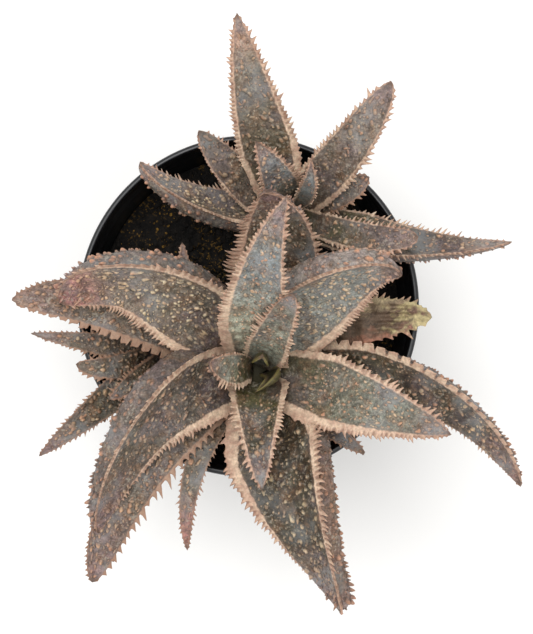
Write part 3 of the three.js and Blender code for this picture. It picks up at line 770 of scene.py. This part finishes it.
def leaf_skin(leaf, seed):
    """A leaf's skin as a grid of rows along its axis and columns round it, in six strips: left
    flange above, upper face, right flange above, right flange below, back, left flange below.
    Tubercles lift the skin along its normal and lean towards the tip."""
    rows = leaf_rows(leaf)
    warts = WARTS[leaf.warts]
    point, along, left, above = leaf_axis(leaf, rows.t)
    # a hollow leaf closes at its back, not across the hollow
    sunk = (leaf.hollow - CHANNEL) * (leaf.blade[0] / 2 - rows.half)
    point = point - above * sunk

    strips = [flange_strip(rows, 1, False, seed), face_strip(rows, leaf, seed),
              flange_strip(rows, -1, False, seed), flange_strip(rows, -1, True, seed),
              back_strip(rows, leaf), flange_strip(rows, 1, True, seed)]
    for n in (0, 3):  # these two run inwards
        strips[n] = [values[:, ::-1] for values in strips[n]]
    across, upwards, ahead, rim, groove = (np.concatenate(a, axis=1) for a in zip(*strips))
    counts = [strip[0].shape[1] for strip in strips]
    full = np.ones_like(across)
    under = np.repeat(np.arange(6) >= UNDERSIDE, counts)[None, :] * full
    grid = (point[:, None] + left[:, None] * across[..., None] + above[:, None] * upwards[..., None]
            + along[:, None] * ahead[..., None])

    girth = np.cumsum(np.linalg.norm(np.diff(grid, axis=1, prepend=grid[:, :1]), axis=2), axis=1)
    on_face, on_back, hook = tubercles(rows, warts, girth, rim, counts, seed)
    small = np.clip(rows.half / FULL_BEADS, 0.5, 1) * (1 + TIP_GROWTH * smoothstep(rows.t, 0.7, 1))
    lift = small * (warts.bump * on_face + HOOK_BUMP * hook + BACK_BUMP * on_back)
    normal = unit(np.cross(np.gradient(grid, axis=0), np.roll(grid, -1, 1) - np.roll(grid, 1, 1)))
    lean = (0.4 + 0.5 * hook) * lift
    grid = grid - normal * lift[..., None] + along[:, None] * lean[..., None]

    closing = leaf_axis(leaf, np.array([[1.0]]))[0][0] + along[-1] * 0.2 - above[-1] * sunk[-1]
    points = closed(grid, point[0] - along[0] * 2.0, closing)
    kind = [warts.warm, warts.clear, float(warts.bump == 0)] * np.ones((*across.shape, 3))
    kind[:, :, 1] *= 1 - 0.45 * (warts.bump < HIGH_BUMP) * smoothstep(rows.t, 0.78, 0.95)
    grown = MM * np.stack([rows.distance * full, girth, LEAF_SHIFT * seed * full], axis=-1)
    attributes = {
        "tone": leaf_tones(leaf, rows.t, under),
        "bead": closed(np.clip(on_face + on_back, 0, 1), 0, 0),
        "hook": closed(hook, 0, 0),
        "groove": closed(groove, 0, 0),
        "kind": closed(kind, kind[0, 0], kind[0, 0]),
        "rim": closed(np.clip(0.5 + rim / RIM_SPAN, 0, 1), 0.3, 0.5),
        "under": closed(under, 0, 0),
        "side": closed(0.5 + across / leaf.blade[0], 0.5, 0.5),
        "brown": closed(warts.brown * full, 0, 0),
        "along": closed(rows.distance / rows.distance[-1] * full, 0, 1),
        "place": closed(grown, np.zeros(3), np.zeros(3)),
    }
    return points, [tube_faces(*across.shape), cap_faces(*across.shape)], attributes


# ---- pot, compost and stems ----


def wall_radius(height):
    """Outer radius of the pot's straight wall at a height."""
    top = RIM_RADIUS - LIP_WIDTH + WALL - COLLAR_STEP
    return BASE_RADIUS + (top - BASE_RADIUS) * height / (POT_HEIGHT - COLLAR_HEIGHT)


def pot_profile():
    """The pot's section as radius and height, from the middle of the base round the outside,
    over the lip and down the inside to the middle of the floor."""
    foot = POT_HEIGHT - COLLAR_HEIGHT
    collar = RIM_RADIUS - LIP_WIDTH + WALL
    return [
        (0, 0),
        (BASE_RADIUS - FOOT_CHAMFER, 0),
        (wall_radius(FOOT_CHAMFER), FOOT_CHAMFER),
        (wall_radius(foot), foot),
        (collar - WALL / 4, foot + WALL),
        (collar, POT_HEIGHT - 2 * WALL),
        (RIM_RADIUS, POT_HEIGHT - 2 * WALL),
        (RIM_RADIUS, POT_HEIGHT - WALL / 2),
        (RIM_RADIUS - WALL / 2, POT_HEIGHT),
        (RIM_RADIUS - LIP_WIDTH + WALL / 4, POT_HEIGHT),
        (RIM_RADIUS - LIP_WIDTH, POT_HEIGHT - WALL / 2),
        (collar - WALL - WALL / 4, foot + WALL),
        (wall_radius(foot) - WALL, foot - WALL),
        (wall_radius(POT_FLOOR) - WALL, POT_FLOOR),
        (0, POT_FLOOR),
    ]


def drill_drains(pot):
    """Cuts the drain holes: upright cylinders on a circle, taken out by a Boolean modifier that
    is applied."""
    angle = 2 * np.pi * np.arange(DRAIN_HOLES) / DRAIN_HOLES
    low, high = -5.0, 5.0
    section = np.array([(0, low), (DRAIN_RADIUS, low), (DRAIN_RADIUS, high), (0, high)])
    points, faces = turned(section, 32)
    places = DRAIN_CIRCLE * np.stack([np.cos(angle), np.sin(angle), 0 * angle], axis=-1)
    drill = mesh_object("drill", (points[None] + places[:, None]).reshape(-1, 3),
                        repeated(faces, len(points), DRAIN_HOLES), smooth=False)
    cut = pot.modifiers.new("drains", "BOOLEAN")
    cut.operation = "DIFFERENCE"
    cut.solver = "EXACT"
    cut.object = drill
    cut_mesh = bpy.data.meshes.new_from_object(
        pot.evaluated_get(bpy.context.evaluated_depsgraph_get()))
    pot.modifiers.clear()
    pot.data = cut_mesh
    bpy.data.objects.remove(drill)


def soil_height(x, y, edge, crumb):
    """Height of the compost: a low mound, with lumps about 11 mm wide and crumbs about 3 and
    1.5 mm wide on it, that level out at the wall."""
    share = np.hypot(x, y) / edge
    relief = (LUMP_HEIGHT * waves(x, y, LUMP_WIDTH, 101) + crumb * beads(x, y, *CRUMBS)
              + 0.5 * crumb * beads(x, y, *FINE_CRUMBS))
    mound = SOIL_TOP - LUMP_HEIGHT + SOIL_MOUND * (1 - share ** 2)
    return mound + relief * (1 - share ** 8)


def soil_body(settings):
    """The compost as one closed turned form: a flat foot, a side along the pot's wall, and a top
    of rings lifted to the compost's height."""
    edge = wall_radius(SOIL_TOP) - WALL - SOIL_GAP
    foot = wall_radius(POT_FLOOR) - WALL - SOIL_GAP
    low = POT_FLOOR + SOIL_GAP
    rings = np.linspace(edge, 0.4, 110)
    top = np.stack([rings, np.full_like(rings, SOIL_TOP)], axis=1)
    profile = np.concatenate([[[0, low], [foot, low]], top, [[0, SOIL_TOP]]])
    points, faces = turned(profile, 420)
    crumb = settings.crumb / MM
    raised = points[:, 2] > SOIL_TOP - 1
    points[raised, 2] = soil_height(points[raised, 0], points[raised, 1], edge, crumb)
    # painted shade: the compost's tone is darker between the crumbs and lighter on them
    lift = smoothstep(beads(points[:, 0], points[:, 1], *CRUMBS), 0.2, 0.9)
    return points, faces, {"tone": np.array(settings.colour) * (0.55 + 0.75 * lift[:, None])}


def soil_grains(settings):
    """Loose grains: a six-sided ball of 26 points for each, squeezed and turned by seeded draws,
    half sunk in the compost. About two in five are golden grit, more in some places."""
    rng = np.random.default_rng(7)
    edge = wall_radius(SOIL_TOP) - WALL - GRAIN_MARGIN
    count = settings.grains
    level = np.radians([60, 25, -10, -45])
    angle = np.radians(np.arange(0, 360, 60))
    ball = np.stack([np.outer(np.cos(level), np.cos(angle)), np.outer(np.cos(level), np.sin(angle)),
                     np.outer(np.sin(level), np.ones_like(angle))], axis=-1).reshape(-1, 3)
    ball = np.concatenate([ball, [[0, 0, 1], [0, 0, -1]]])
    rows = len(level)
    faces = [tube_faces(rows, 6)[:, ::-1], cap_faces(rows, 6)[:, ::-1]]
    radius = edge * np.sqrt(rng.random(count))
    bearing = 2 * np.pi * rng.random(count)
    x, y = radius * np.cos(bearing), radius * np.sin(bearing)
    golden = rng.random(count) < 0.4 + 0.4 * waves(x, y, 16, 104)
    size = np.where(golden, 0.16 + 0.34 * rng.random(count) ** 2, 0.4 + 1.1 * rng.random(count) ** 2)
    form = ball[None] * (1 + 0.35 * (rng.random((count, len(ball), 1)) - 0.5))
    form = form * (0.6 + 0.8 * rng.random((count, 1, 3)))
    turn = np.linalg.qr(rng.normal(size=(count, 3, 3)))[0]
    turn = turn * np.sign(np.linalg.det(turn))[:, None, None]
    form = np.einsum("nij,nkj->nki", turn, form) * size[:, None, None]
    z = soil_height(x, y, wall_radius(SOIL_TOP) - WALL - SOIL_GAP, settings.crumb / MM)
    points = form + np.stack([x, y, z + 0.1 * size], axis=1)[:, None]
    shade = 0.5 + 1.1 * rng.random((count, 1))
    tone = shade * np.where(golden[:, None], settings.speck, settings.colour)
    return (points.reshape(-1, 3), repeated(faces, len(ball), count),
            {"tone": np.repeat(tone, len(ball), axis=0)})


def stem_body(stem):
    """A stem turned about its own axis: thinner at its foot and top, with a ring at each leaf scar,
    the height of half a sine wave. Its top under the leaves is marked for painted shade."""
    height = np.linspace(STEM_FOOT, stem.top, 60)
    share = (height - STEM_FOOT) / (stem.top - STEM_FOOT)
    radius = stem.radius * np.interp(share, [0, 0.5, 1], [0.8, 1.0, 0.7])
    radius = radius * (1 + SCAR_RELIEF * np.abs(np.sin(np.pi * height / SCAR_PITCH)))
    ring = np.stack([radius, height], axis=1)
    points, faces = turned(np.concatenate([[[0, STEM_FOOT]], ring, [[0, stem.top]]]), 48)
    # marks the stem's top for painted shade, where the leaves close over it
    top = smoothstep(points[:, 2], stem.top - 10, stem.top - 5)
    return points + [stem.x, stem.y, 0], faces, {"top": top}


# ---- materials ----


def add_node(tree, kind, *inputs, output=0, **settings):
    """Adds a shader node with its settings and gives back one output, or all for None. Its inputs
    come in their order, None to leave one as it is, or in one dict by name or number, and one
    that is another node's socket is linked."""
    made = tree.nodes.new(f"ShaderNode{kind}")
    for key, value in settings.items():
        setattr(made, key, value)
    given = inputs[0] if inputs and isinstance(inputs[0], dict) else dict(enumerate(inputs))
    for key, value in given.items():
        if isinstance(value, NodeSocket):
            tree.links.new(value, made.inputs[key])
        elif value is not None:
            made.inputs[key].default_value = value
    return made.outputs if output is None else made.outputs[output]


def new_material(name):
    """A material, and the function that adds a node to it."""
    material = bpy.data.materials.new(name)
    material.use_nodes = True
    material.node_tree.nodes.clear()
    return material, partial(add_node, material.node_tree)


def finish_material(add, inputs, height=None, strength=0.0, depth=0.0):
    """The surface shader with its inputs by name, its fine relief from a height that is `depth`
    millimetres deep, and the output."""
    if height is not None:
        relief = {"Height": height, "Strength": strength, "Distance": depth * MM}
        inputs = {**inputs, "Normal": add("Bump", relief)}
    add("OutputMaterial", add("BsdfPrincipled", inputs), output=None)


def per_mm(length):
    """A texture's scale for a feature of that length in millimetres."""
    return 1000 / length


def clouds(add, where, width, low, high, least=0.0, most=1.0, detail=2.0, rough=0.5):
    """Cloudy noise with features of that width in millimetres: where it rises from low to high
    the result goes from least to most, and it stays there beyond."""
    field = add("TexNoise", where, None, per_mm(width), detail, rough)
    return add("MapRange", field, low, high, least, most)


def layered(add, ground, *layers):
    """Colours laid over a ground in turn. Each layer is a colour and the shares, whose product is
    how far it covers what is below."""
    for colour, covers, *shares in layers:
        for share in shares:
            covers = add("Math", covers, share, operation="MULTIPLY")
        ground = add("Mix", {0: covers, 6: ground, 7: colour}, data_type="RGBA", output=2)
    return ground


def shaded(add, ground, *shades):
    """A colour times each of the shades."""
    for shade in shades:
        ground = add("Mix", {0: 1.0, 6: ground, 7: shade}, data_type="RGBA",
                     blend_type="MULTIPLY", output=2)
    return ground


def succulent_skin(colours):
    """Living leaf skin under a thin wax bloom, grown in relief: mottled, satin, with pale flanges and
    hard pale beads, and painted shade round the beads and between the flanges' ribs."""
    material, add = new_material("waxy_succulent_skin")
    space = add("TexCoord", output="Object")
    cloudy = partial(clouds, add, space)
    rim, bead, hook, groove, under, along, brown = (
        add("Attribute", attribute_name=name, output="Fac")
        for name in ("rim", "bead", "hook", "groove", "under", "along", "brown"))
    tone = add("Attribute", attribute_name="tone", output="Color")
    kind = add("Attribute", attribute_name="kind", output="Vector")
    warm, clear, young = add("SeparateXYZ", kind, output=None)
    old = add("Math", 1.0, young, operation="SUBTRACT")
    grown = add("Attribute", attribute_name="place", output="Vector")
    drawn = add("Mapping", {"Vector": grown, "Scale": (0.3, 1.0, 1.0)})
    moved = add("Mapping", space, (0.1, 0.2, 0.0))

    # mottled skin: olive, violet and rust clouds about 7, 10 and 4 mm wide, shaded by blotches of
    # 2 mm, lengthwise streaks about 0.8 mm apart and pores
    skin = layered(
        add, tone,
        (colours["patch"], cloudy(7.0, 0.42, 0.62, 0.0, 0.45), old),
        (colours["violet"], clouds(add, moved, 10.0, 0.48, 0.66, 0.0, 0.5), old),
        (colours["rust"], cloudy(4.0, 0.5, 0.66, 0.0, 0.55, 3.0, 0.6), old))
    skin = shaded(
        add, skin, cloudy(2.2, 0.3, 0.7, 0.46, 1.54, 4.0, 0.65),
        clouds(add, drawn, 0.8, 0.3, 0.7, 0.7, 1.3), cloudy(0.6, 0.35, 0.65, 0.74, 1.26))

    # on it patches of bloom away from the stem, pale scurf about 1 mm wide in patches, tan flecks
    # about 1.2 mm apart, and a darker line along the flange
    cells = add("TexVoronoi", grown, None, per_mm(1.2))
    skin = layered(
        add, skin,
        (colours["bloom"], cloudy(11.0, 0.48, 0.7, detail=3.0),
         add("MapRange", along, 0.2, 0.6, 0.0, 0.55), old),
        (colours["scurf"], cloudy(1.1, 0.54, 0.64, 0.0, 0.7, 3.0, 0.6), cloudy(6.0, 0.4, 0.6), old),
        (colours["fleck"], add("MapRange", cells, 0.12, 0.32, 0.38, 0.0),
         cloudy(2.6, 0.42, 0.58), old),
        (colours["edge"], add("MapRange", rim, 0.38, 0.49, 0.0, 0.3)))

    # the flange: cream, pinker towards the tip and at its teeth, with painted shade between their
    # ribs
    flange = layered(
        add, colours["flange"],
        (colours["flange_pink"], cloudy(2.6, 0.35, 0.68, detail=3.0)),
        (colours["tooth"], add("MapRange", along, 0.4, 1.0, 0.0, 0.8)),
        (colours["tooth"], add("MapRange", rim, 0.66, 0.95, 0.0, 0.65)))
    ribbed = cloudy(0.7, 0.3, 0.7, 0.79, 1.19)
    flange = layered(
        add, shaded(add, flange, ribbed),
        (colours["groove"], add("MapRange", groove, 0.35, 1.0, 0.0, 0.72)),
        # on the low leaves the flanges are browned, partly with age and partly as painted shade
        (colours["browned_and_shaded"], brown),
        (colours["young"], young))
    edge = add("Math", rim, cloudy(1.4, 0.3, 0.7, -0.03, 0.03), operation="ADD")

    # tubercles: cream to orange above, orange-pink on the back, on the hooks and towards the tip
    tint = add("Math", warm, cloudy(2.8, 0.35, 0.65, -0.4, 0.4), operation="ADD")
    for share in (under, hook, add("MapRange", along, 0.6, 1.0)):
        tint = add("Math", tint, share, operation="MAXIMUM")
    clearest = clear
    for share, most in ((hook, 0.95), (under, 0.7)):
        share = add("Math", share, most, operation="MULTIPLY")
        clearest = add("Math", clearest, share, operation="MAXIMUM")
    tubercle = layered(
        add, colours["bead"],
        (colours["bead_light"], cloudy(3.4, 0.35, 0.65)),
        (colours["bead_back"], tint))

    # the tubercles have a faint dark hem of painted shade where they rise from the skin, and the
    # leaf's last millimetre is dried up
    skin = layered(
        add, skin,
        (flange, add("MapRange", edge, 0.475, 0.53)),
        (colours["bead_hem_shade"], add("MapRange", bead, 0.0, 0.08), add("MapRange", bead, 0.12, 0.3, 1.0, 0.0),
         0.45),
        (shaded(add, tubercle, ribbed), add("MapRange", bead, 0.1, 0.8), clearest,
         cloudy(2.4, 0.36, 0.62, 0.5, 1.2)),
        (colours["dried"], add("MapRange", along, 0.975, 0.995, 0.0, 0.6)))
    finish_material(
        add, {"Base Color": skin, "Roughness": cloudy(2.5, 0.3, 0.7, 0.42, 0.62, 3.0), "IOR": 1.45,
              "Subsurface Weight": 0.1, "Subsurface Radius": (1.0, 0.45, 0.25),
              "Subsurface Scale": 0.8 * MM},
        height=add("TexNoise", space, None, per_mm(0.7), 4.0, 0.65), strength=0.6, depth=0.3)
    return material


def withered_skin(colours):
    """A drying leaf: shrunken in fine lengthwise ribs, brown in the middle, straw-coloured along
    its upper side and at its end, where it has dried out, and reddish where it is torn."""
    material, add = new_material("drying_leaf_skin")
    space = add("TexCoord", output="Object")
    grown = add("Attribute", attribute_name="place", output="Vector")
    drawn = add("Mapping", {"Vector": grown, "Scale": (0.25, 1.0, 1.0)})
    ribs = add("TexNoise", drawn, None, per_mm(0.7), 3.0)
    tone = add("Attribute", attribute_name="tone", output="Color")
    side, along, rim = (add("Attribute", attribute_name=name, output="Fac")
                        for name in ("side", "along", "rim"))
    patchy = clouds(add, space, 3.0, 0.3, 0.7, -0.14, 0.14, 4.0)
    side, along = (add("Math", share, patchy, operation="ADD") for share in (side, along))
    skin = layered(
        add, tone,
        (colours["torn"], add("MapRange", side, 0.05, 0.3, 0.75, 0.0)),
        (colours["strip"], add("MapRange", side, 0.62, 0.86, 0.0, 0.75)),
        (colours["dry"], add("MapRange", along, 0.82, 0.92, 0.0, 0.95)),
        (colours["tooth"], add("MapRange", rim, 0.56, 0.66, 0.0, 0.7)))
    skin = shaded(add, skin, add("MapRange", ribs, 0.3, 0.7, 0.6, 1.3),
                  clouds(add, space, 1.2, 0.3, 0.7, 0.7, 1.35, 4.0))
    finish_material(add, {"Base Color": skin, "Roughness": 0.62, "IOR": 1.45},
                    height=ribs, strength=0.8, depth=0.4)
    return material


def moulded_polypropylene(colour):
    """Black polypropylene, injection moulded: smooth and half glossy, with fine handling
    scratches and a trace of dust that dulls it in patches."""
    material, add = new_material("moulded_black_polypropylene")
    space = add("TexCoord", output="Object")
    haze = add("TexNoise", space, None, per_mm(18.0), 5.0, 0.6)
    tint = layered(add, (*colour, 1.0), (rgba(DUST), add("MapRange", haze, 0.5, 0.75, 0.0, 0.35)))
    drawn = add("Mapping", {"Vector": space, "Scale": (1.0, 1.0, 0.12)})
    finish_material(
        add, {"Base Color": tint, "Roughness": add("MapRange", haze, 0.3, 0.7, 0.27, 0.46),
              "IOR": 1.49},
        height=add("TexNoise", drawn, None, per_mm(0.6), 4.0), strength=0.12, depth=0.1)
    return material


def peat(speck):
    """Damp peat compost, heaped: near black, matt, crumbly down to half a millimetre, with
    crumbs of golden grit about 1 mm wide in patches."""
    material, add = new_material("damp_peat_compost")
    space = add("TexCoord", output="Object")
    crumb = add("TexNoise", space, None, per_mm(1.3), 6.0, 0.7)
    tone = add("Attribute", attribute_name="tone", output="Color")
    # painted shade: the noise that gives the crumbs their relief also darkens their hollows and
    # lightens their tops
    earth = layered(
        add, shaded(add, tone, add("MapRange", crumb, 0.35, 0.7, 0.1, 1.6)),
        ((*speck, 1.0), clouds(add, space, 9.0, 0.48, 0.6),
         clouds(add, space, 1.0, 0.55, 0.64, 0.0, 0.85, 3.0, 0.6)))
    finish_material(add, {"Base Color": earth, "Roughness": 0.92, "IOR": 1.4},
                    height=crumb, strength=0.9, depth=0.6)
    return material


def stem_bark(colour):
    """Fleshy stem skin, ringed by old leaf scars: pale brown-green and dull, with painted shade in
    the heart's dark olive at its top."""
    material, add = new_material("fleshy_stem_skin")
    mottle = add("TexNoise", add("TexCoord", output="Object"), None, per_mm(2.0), 4.0)
    skin = layered(
        add, (*colour, 1.0),
        (rgba(SCAR), add("MapRange", mottle, 0.35, 0.65)),
        # painted shade at the stem's top, in the heart's dark olive
        (rgba(TONES["deep"]), add("Attribute", attribute_name="top", output="Fac")))
    finish_material(add, {"Base Color": skin, "Roughness": 0.75, "IOR": 1.45},
                    height=mottle, strength=0.5, depth=0.3)
    return material


def matt_board(colour):
    """Matt white display board, painted: plain, and dull enough to show no lamp."""
    material, add = new_material("matt_white_board")
    finish_material(add, {"Base Color": (*colour, 1.0), "Roughness": 0.9})
    return material


# ---- sizes and colours that a user would change ----


def colour_property(name, description, default):
    """A colour that a user can change, from its sRGB hex value."""
    return FloatVectorProperty(name=name, description=description, subtype="COLOR", size=3, min=0,
                               max=1, default=tuple(linear(default)))


def number_property(name, description, default, least, most, **unit):
    """A number that a user can change."""
    return FloatProperty(name=name, description=description, default=default, min=least, max=most,
                         **unit)


def length_property(name, description, *sizes):
    """A length that a user can change: its default, least and most in millimetres."""
    return number_property(name, description, *(size * MM for size in sizes), unit="LENGTH",
                           subtype="DISTANCE")


class PotSettings(PropertyGroup):
    colour: colour_property("Plastic", "Colour of the pot", "#121316")
    corner: length_property("Corner Radius", "Rounding of the pot's moulded corners", 0.6, 0.1, 2)


class SoilSettings(PropertyGroup):
    colour: colour_property("Peat", "Colour of the compost", "#130f0b")
    speck: colour_property("Specks", "Colour of the golden grit", "#775922")
    crumb: length_property("Crumb Height", "Height of the crumbs on the compost", 1.1, 0, 3)
    grains: IntProperty(
        name="Grains", description="Number of loose grains on the compost", default=2600,
        min=0, max=3000)


class PlantSettings(PropertyGroup):
    patch: colour_property("Patches", "Colour of the cloudy patches in the skin", "#5d5747")
    flange: colour_property("Flange", "Colour of the pale margins", "#dcc3a8")
    tooth: colour_property("Teeth", "Colour of the teeth's tips", "#b08a75")
    bead: colour_property("Beads", "Colour of the tubercles on the upper faces", "#bca580")
    stem: colour_property("Stem", "Colour of the stems", "#6b6350")


class StageSettings(PropertyGroup):
    floor: colour_property("Floor", "Colour of the floor", "#f7f6f4")
    light: number_property("Softbox Power", "Power of the main softbox in watts", 10.5, 0, 100)
    sky: number_property("Sky", "Strength of the even light from all sides", 0.78, 0, 5)
    lens: number_property("Lens", "Focal length of the camera", 111.97, 20, 300, unit="CAMERA")
    height: length_property("Camera Height", "Height of the camera above the floor", 690, 200, 3000)


# ---- operators ----


def dress(piece, material, slot, *nodes):
    """Gives a piece its material, lets it ride on the one body, and hides the solids it stands for.
    Its slot is not used."""
    piece.data.materials.append(material)
    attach(piece, "root")
    if nodes:
        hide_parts(*nodes)


def placed(name, data, place):
    """A lamp or a camera at a place in metres."""
    holder = bpy.data.objects.new(name, data)
    bpy.context.scene.collection.objects.link(holder)
    holder.location = place
    return holder


class OBJECT_OT_succulent_stage(Operator):
    """Adds the floor, the soft light and the camera that looks straight down"""

    bl_idname = "succulent.stage"
    bl_label = "Stage"

    def execute(self, context):
        settings = context.scene.succulent_stage
        scene = context.scene
        corners = np.array([(-1, -1, 0), (1, -1, 0), (1, 1, 0), (-1, 1, 0)]) * FLOOR_REACH
        floor = mesh_object("floor", corners - [0, 0, FLOOR_DROP], [np.array([[0, 1, 2, 3]])],
                            smooth=False)
        floor.data.materials.append(matt_board(settings.floor))

        world = bpy.data.worlds.new("studio")
        world.use_nodes = True
        sky = world.node_tree.nodes["Background"]
        sky.inputs["Color"].default_value = (1.0, 1.0, 1.0, 1.0)
        sky.inputs["Strength"].default_value = settings.sky
        scene.world = world

        for name, (place, size, share) in SOFTBOXES.items():
            lamp = bpy.data.lights.new(name, "AREA")
            lamp.shape = "DISK"
            lamp.size = size
            lamp.energy = share * settings.light
            holder = placed(name, lamp, place)
            towards = holder.location.copy()
            towards.z -= POT_HEIGHT * MM
            holder.rotation_euler = towards.to_track_quat("Z", "Y").to_euler()

        camera = bpy.data.cameras.new("camera")
        camera.lens = settings.lens
        camera.sensor_width = 36.0
        camera.sensor_fit = "AUTO"
        scene.camera = placed("camera", camera, (*CAMERA_PLACE, settings.height))
        scene.view_settings.view_transform = "Standard"
        scene.view_settings.look = "None"
        return {"FINISHED"}


class OBJECT_OT_succulent_pot(Operator):
    """Adds the nursery pot: its wall, collar and lip turned from one rounded profile"""

    bl_idname = "succulent.pot"
    bl_label = "Pot"

    def execute(self, context):
        settings = context.scene.succulent_pot
        profile = rounded(pot_profile(), settings.corner / MM)
        pot = mesh_object("nursery_pot", *turned(profile, 240))
        drill_drains(pot)
        dress(pot, moulded_polypropylene(settings.colour), "pot", "pot")
        return {"FINISHED"}


class OBJECT_OT_succulent_soil(Operator):
    """Adds the compost with its crumbs, and the loose grains that lie on it"""

    bl_idname = "succulent.soil"
    bl_label = "Compost"

    def execute(self, context):
        settings = context.scene.succulent_soil
        material = peat(settings.speck)
        dress(mesh_object("compost", *soil_body(settings)), material, "soil", "soil")
        grains = mesh_object("compost_grains", *soil_grains(settings), smooth=False)
        dress(grains, material, "soil")
        return {"FINISHED"}


class OBJECT_OT_succulent_stems(Operator):
    """Adds the three short stems, ringed by leaf scars"""

    bl_idname = "succulent.stems"
    bl_label = "Stems"

    def execute(self, context):
        material = stem_bark(context.scene.succulent_plant.stem)
        for name, stem in STEMS.items():
            dress(mesh_object(f"{name}_stem", *stem_body(stem)), material, "stem", f"stem_{name}")
        return {"FINISHED"}


class OBJECT_OT_succulent_leaves(Operator):
    """Adds all leaves of the three rosettes"""

    bl_idname = "succulent.leaves"
    bl_label = "Leaves"

    def execute(self, context):
        plant = context.scene.succulent_plant
        colours = {key: rgba(value) for key, value in SKIN_COLOURS.items()}
        for key in ("patch", "flange", "tooth", "bead"):
            colours[key] = (*getattr(plant, key), 1.0)
        living = (succulent_skin(colours), "leaf")
        withered = (withered_skin(colours), "withered_leaf")
        for seed, leaf in enumerate(LEAVES):
            look = withered if leaf.name.endswith("withered") else living
            made = mesh_object(f"{leaf.name}_leaf", *leaf_skin(leaf, seed))
            dress(made, *look, f"leaf_{leaf.name}")
        return {"FINISHED"}


class VIEW3D_PT_succulent(Panel):
    """Lists the pieces of the plant"""

    bl_idname = "VIEW3D_PT_succulent"
    bl_label = "Potted Succulent"
    bl_space_type = "VIEW_3D"
    bl_region_type = "UI"
    bl_category = "Succulent"

    def draw(self, context):
        column = self.layout.column()
        for settings in SETTINGS:
            group = getattr(context.scene, settings)
            for key in group.bl_rna.properties.keys():
                if key not in ("rna_type", "name"):
                    column.prop(group, key)
        for operator in OPERATORS:
            column.operator(operator.bl_idname)


# ---- registration ----

SETTINGS = {
    "succulent_pot": PotSettings,
    "succulent_soil": SoilSettings,
    "succulent_plant": PlantSettings,
    "succulent_stage": StageSettings,
}
OPERATORS = (
    OBJECT_OT_succulent_stage,
    OBJECT_OT_succulent_pot,
    OBJECT_OT_succulent_soil,
    OBJECT_OT_succulent_stems,
    OBJECT_OT_succulent_leaves,
)


def register():
    for kind in (*SETTINGS.values(), *OPERATORS, VIEW3D_PT_succulent):
        bpy.utils.register_class(kind)
    for name, kind in SETTINGS.items():
        setattr(bpy.types.Scene, name, PointerProperty(type=kind))


def unregister():
    for name in SETTINGS:
        delattr(bpy.types.Scene, name)
    for kind in (VIEW3D_PT_succulent, *reversed(OPERATORS), *reversed(SETTINGS.values())):
        bpy.utils.unregister_class(kind)


def main():
    """Builds the whole scene."""
    register()
    bpy.ops.succulent.stage()
    bpy.ops.succulent.pot()
    bpy.ops.succulent.soil()
    bpy.ops.succulent.stems()
    bpy.ops.succulent.leaves()


if __name__ == "__main__":
    main()
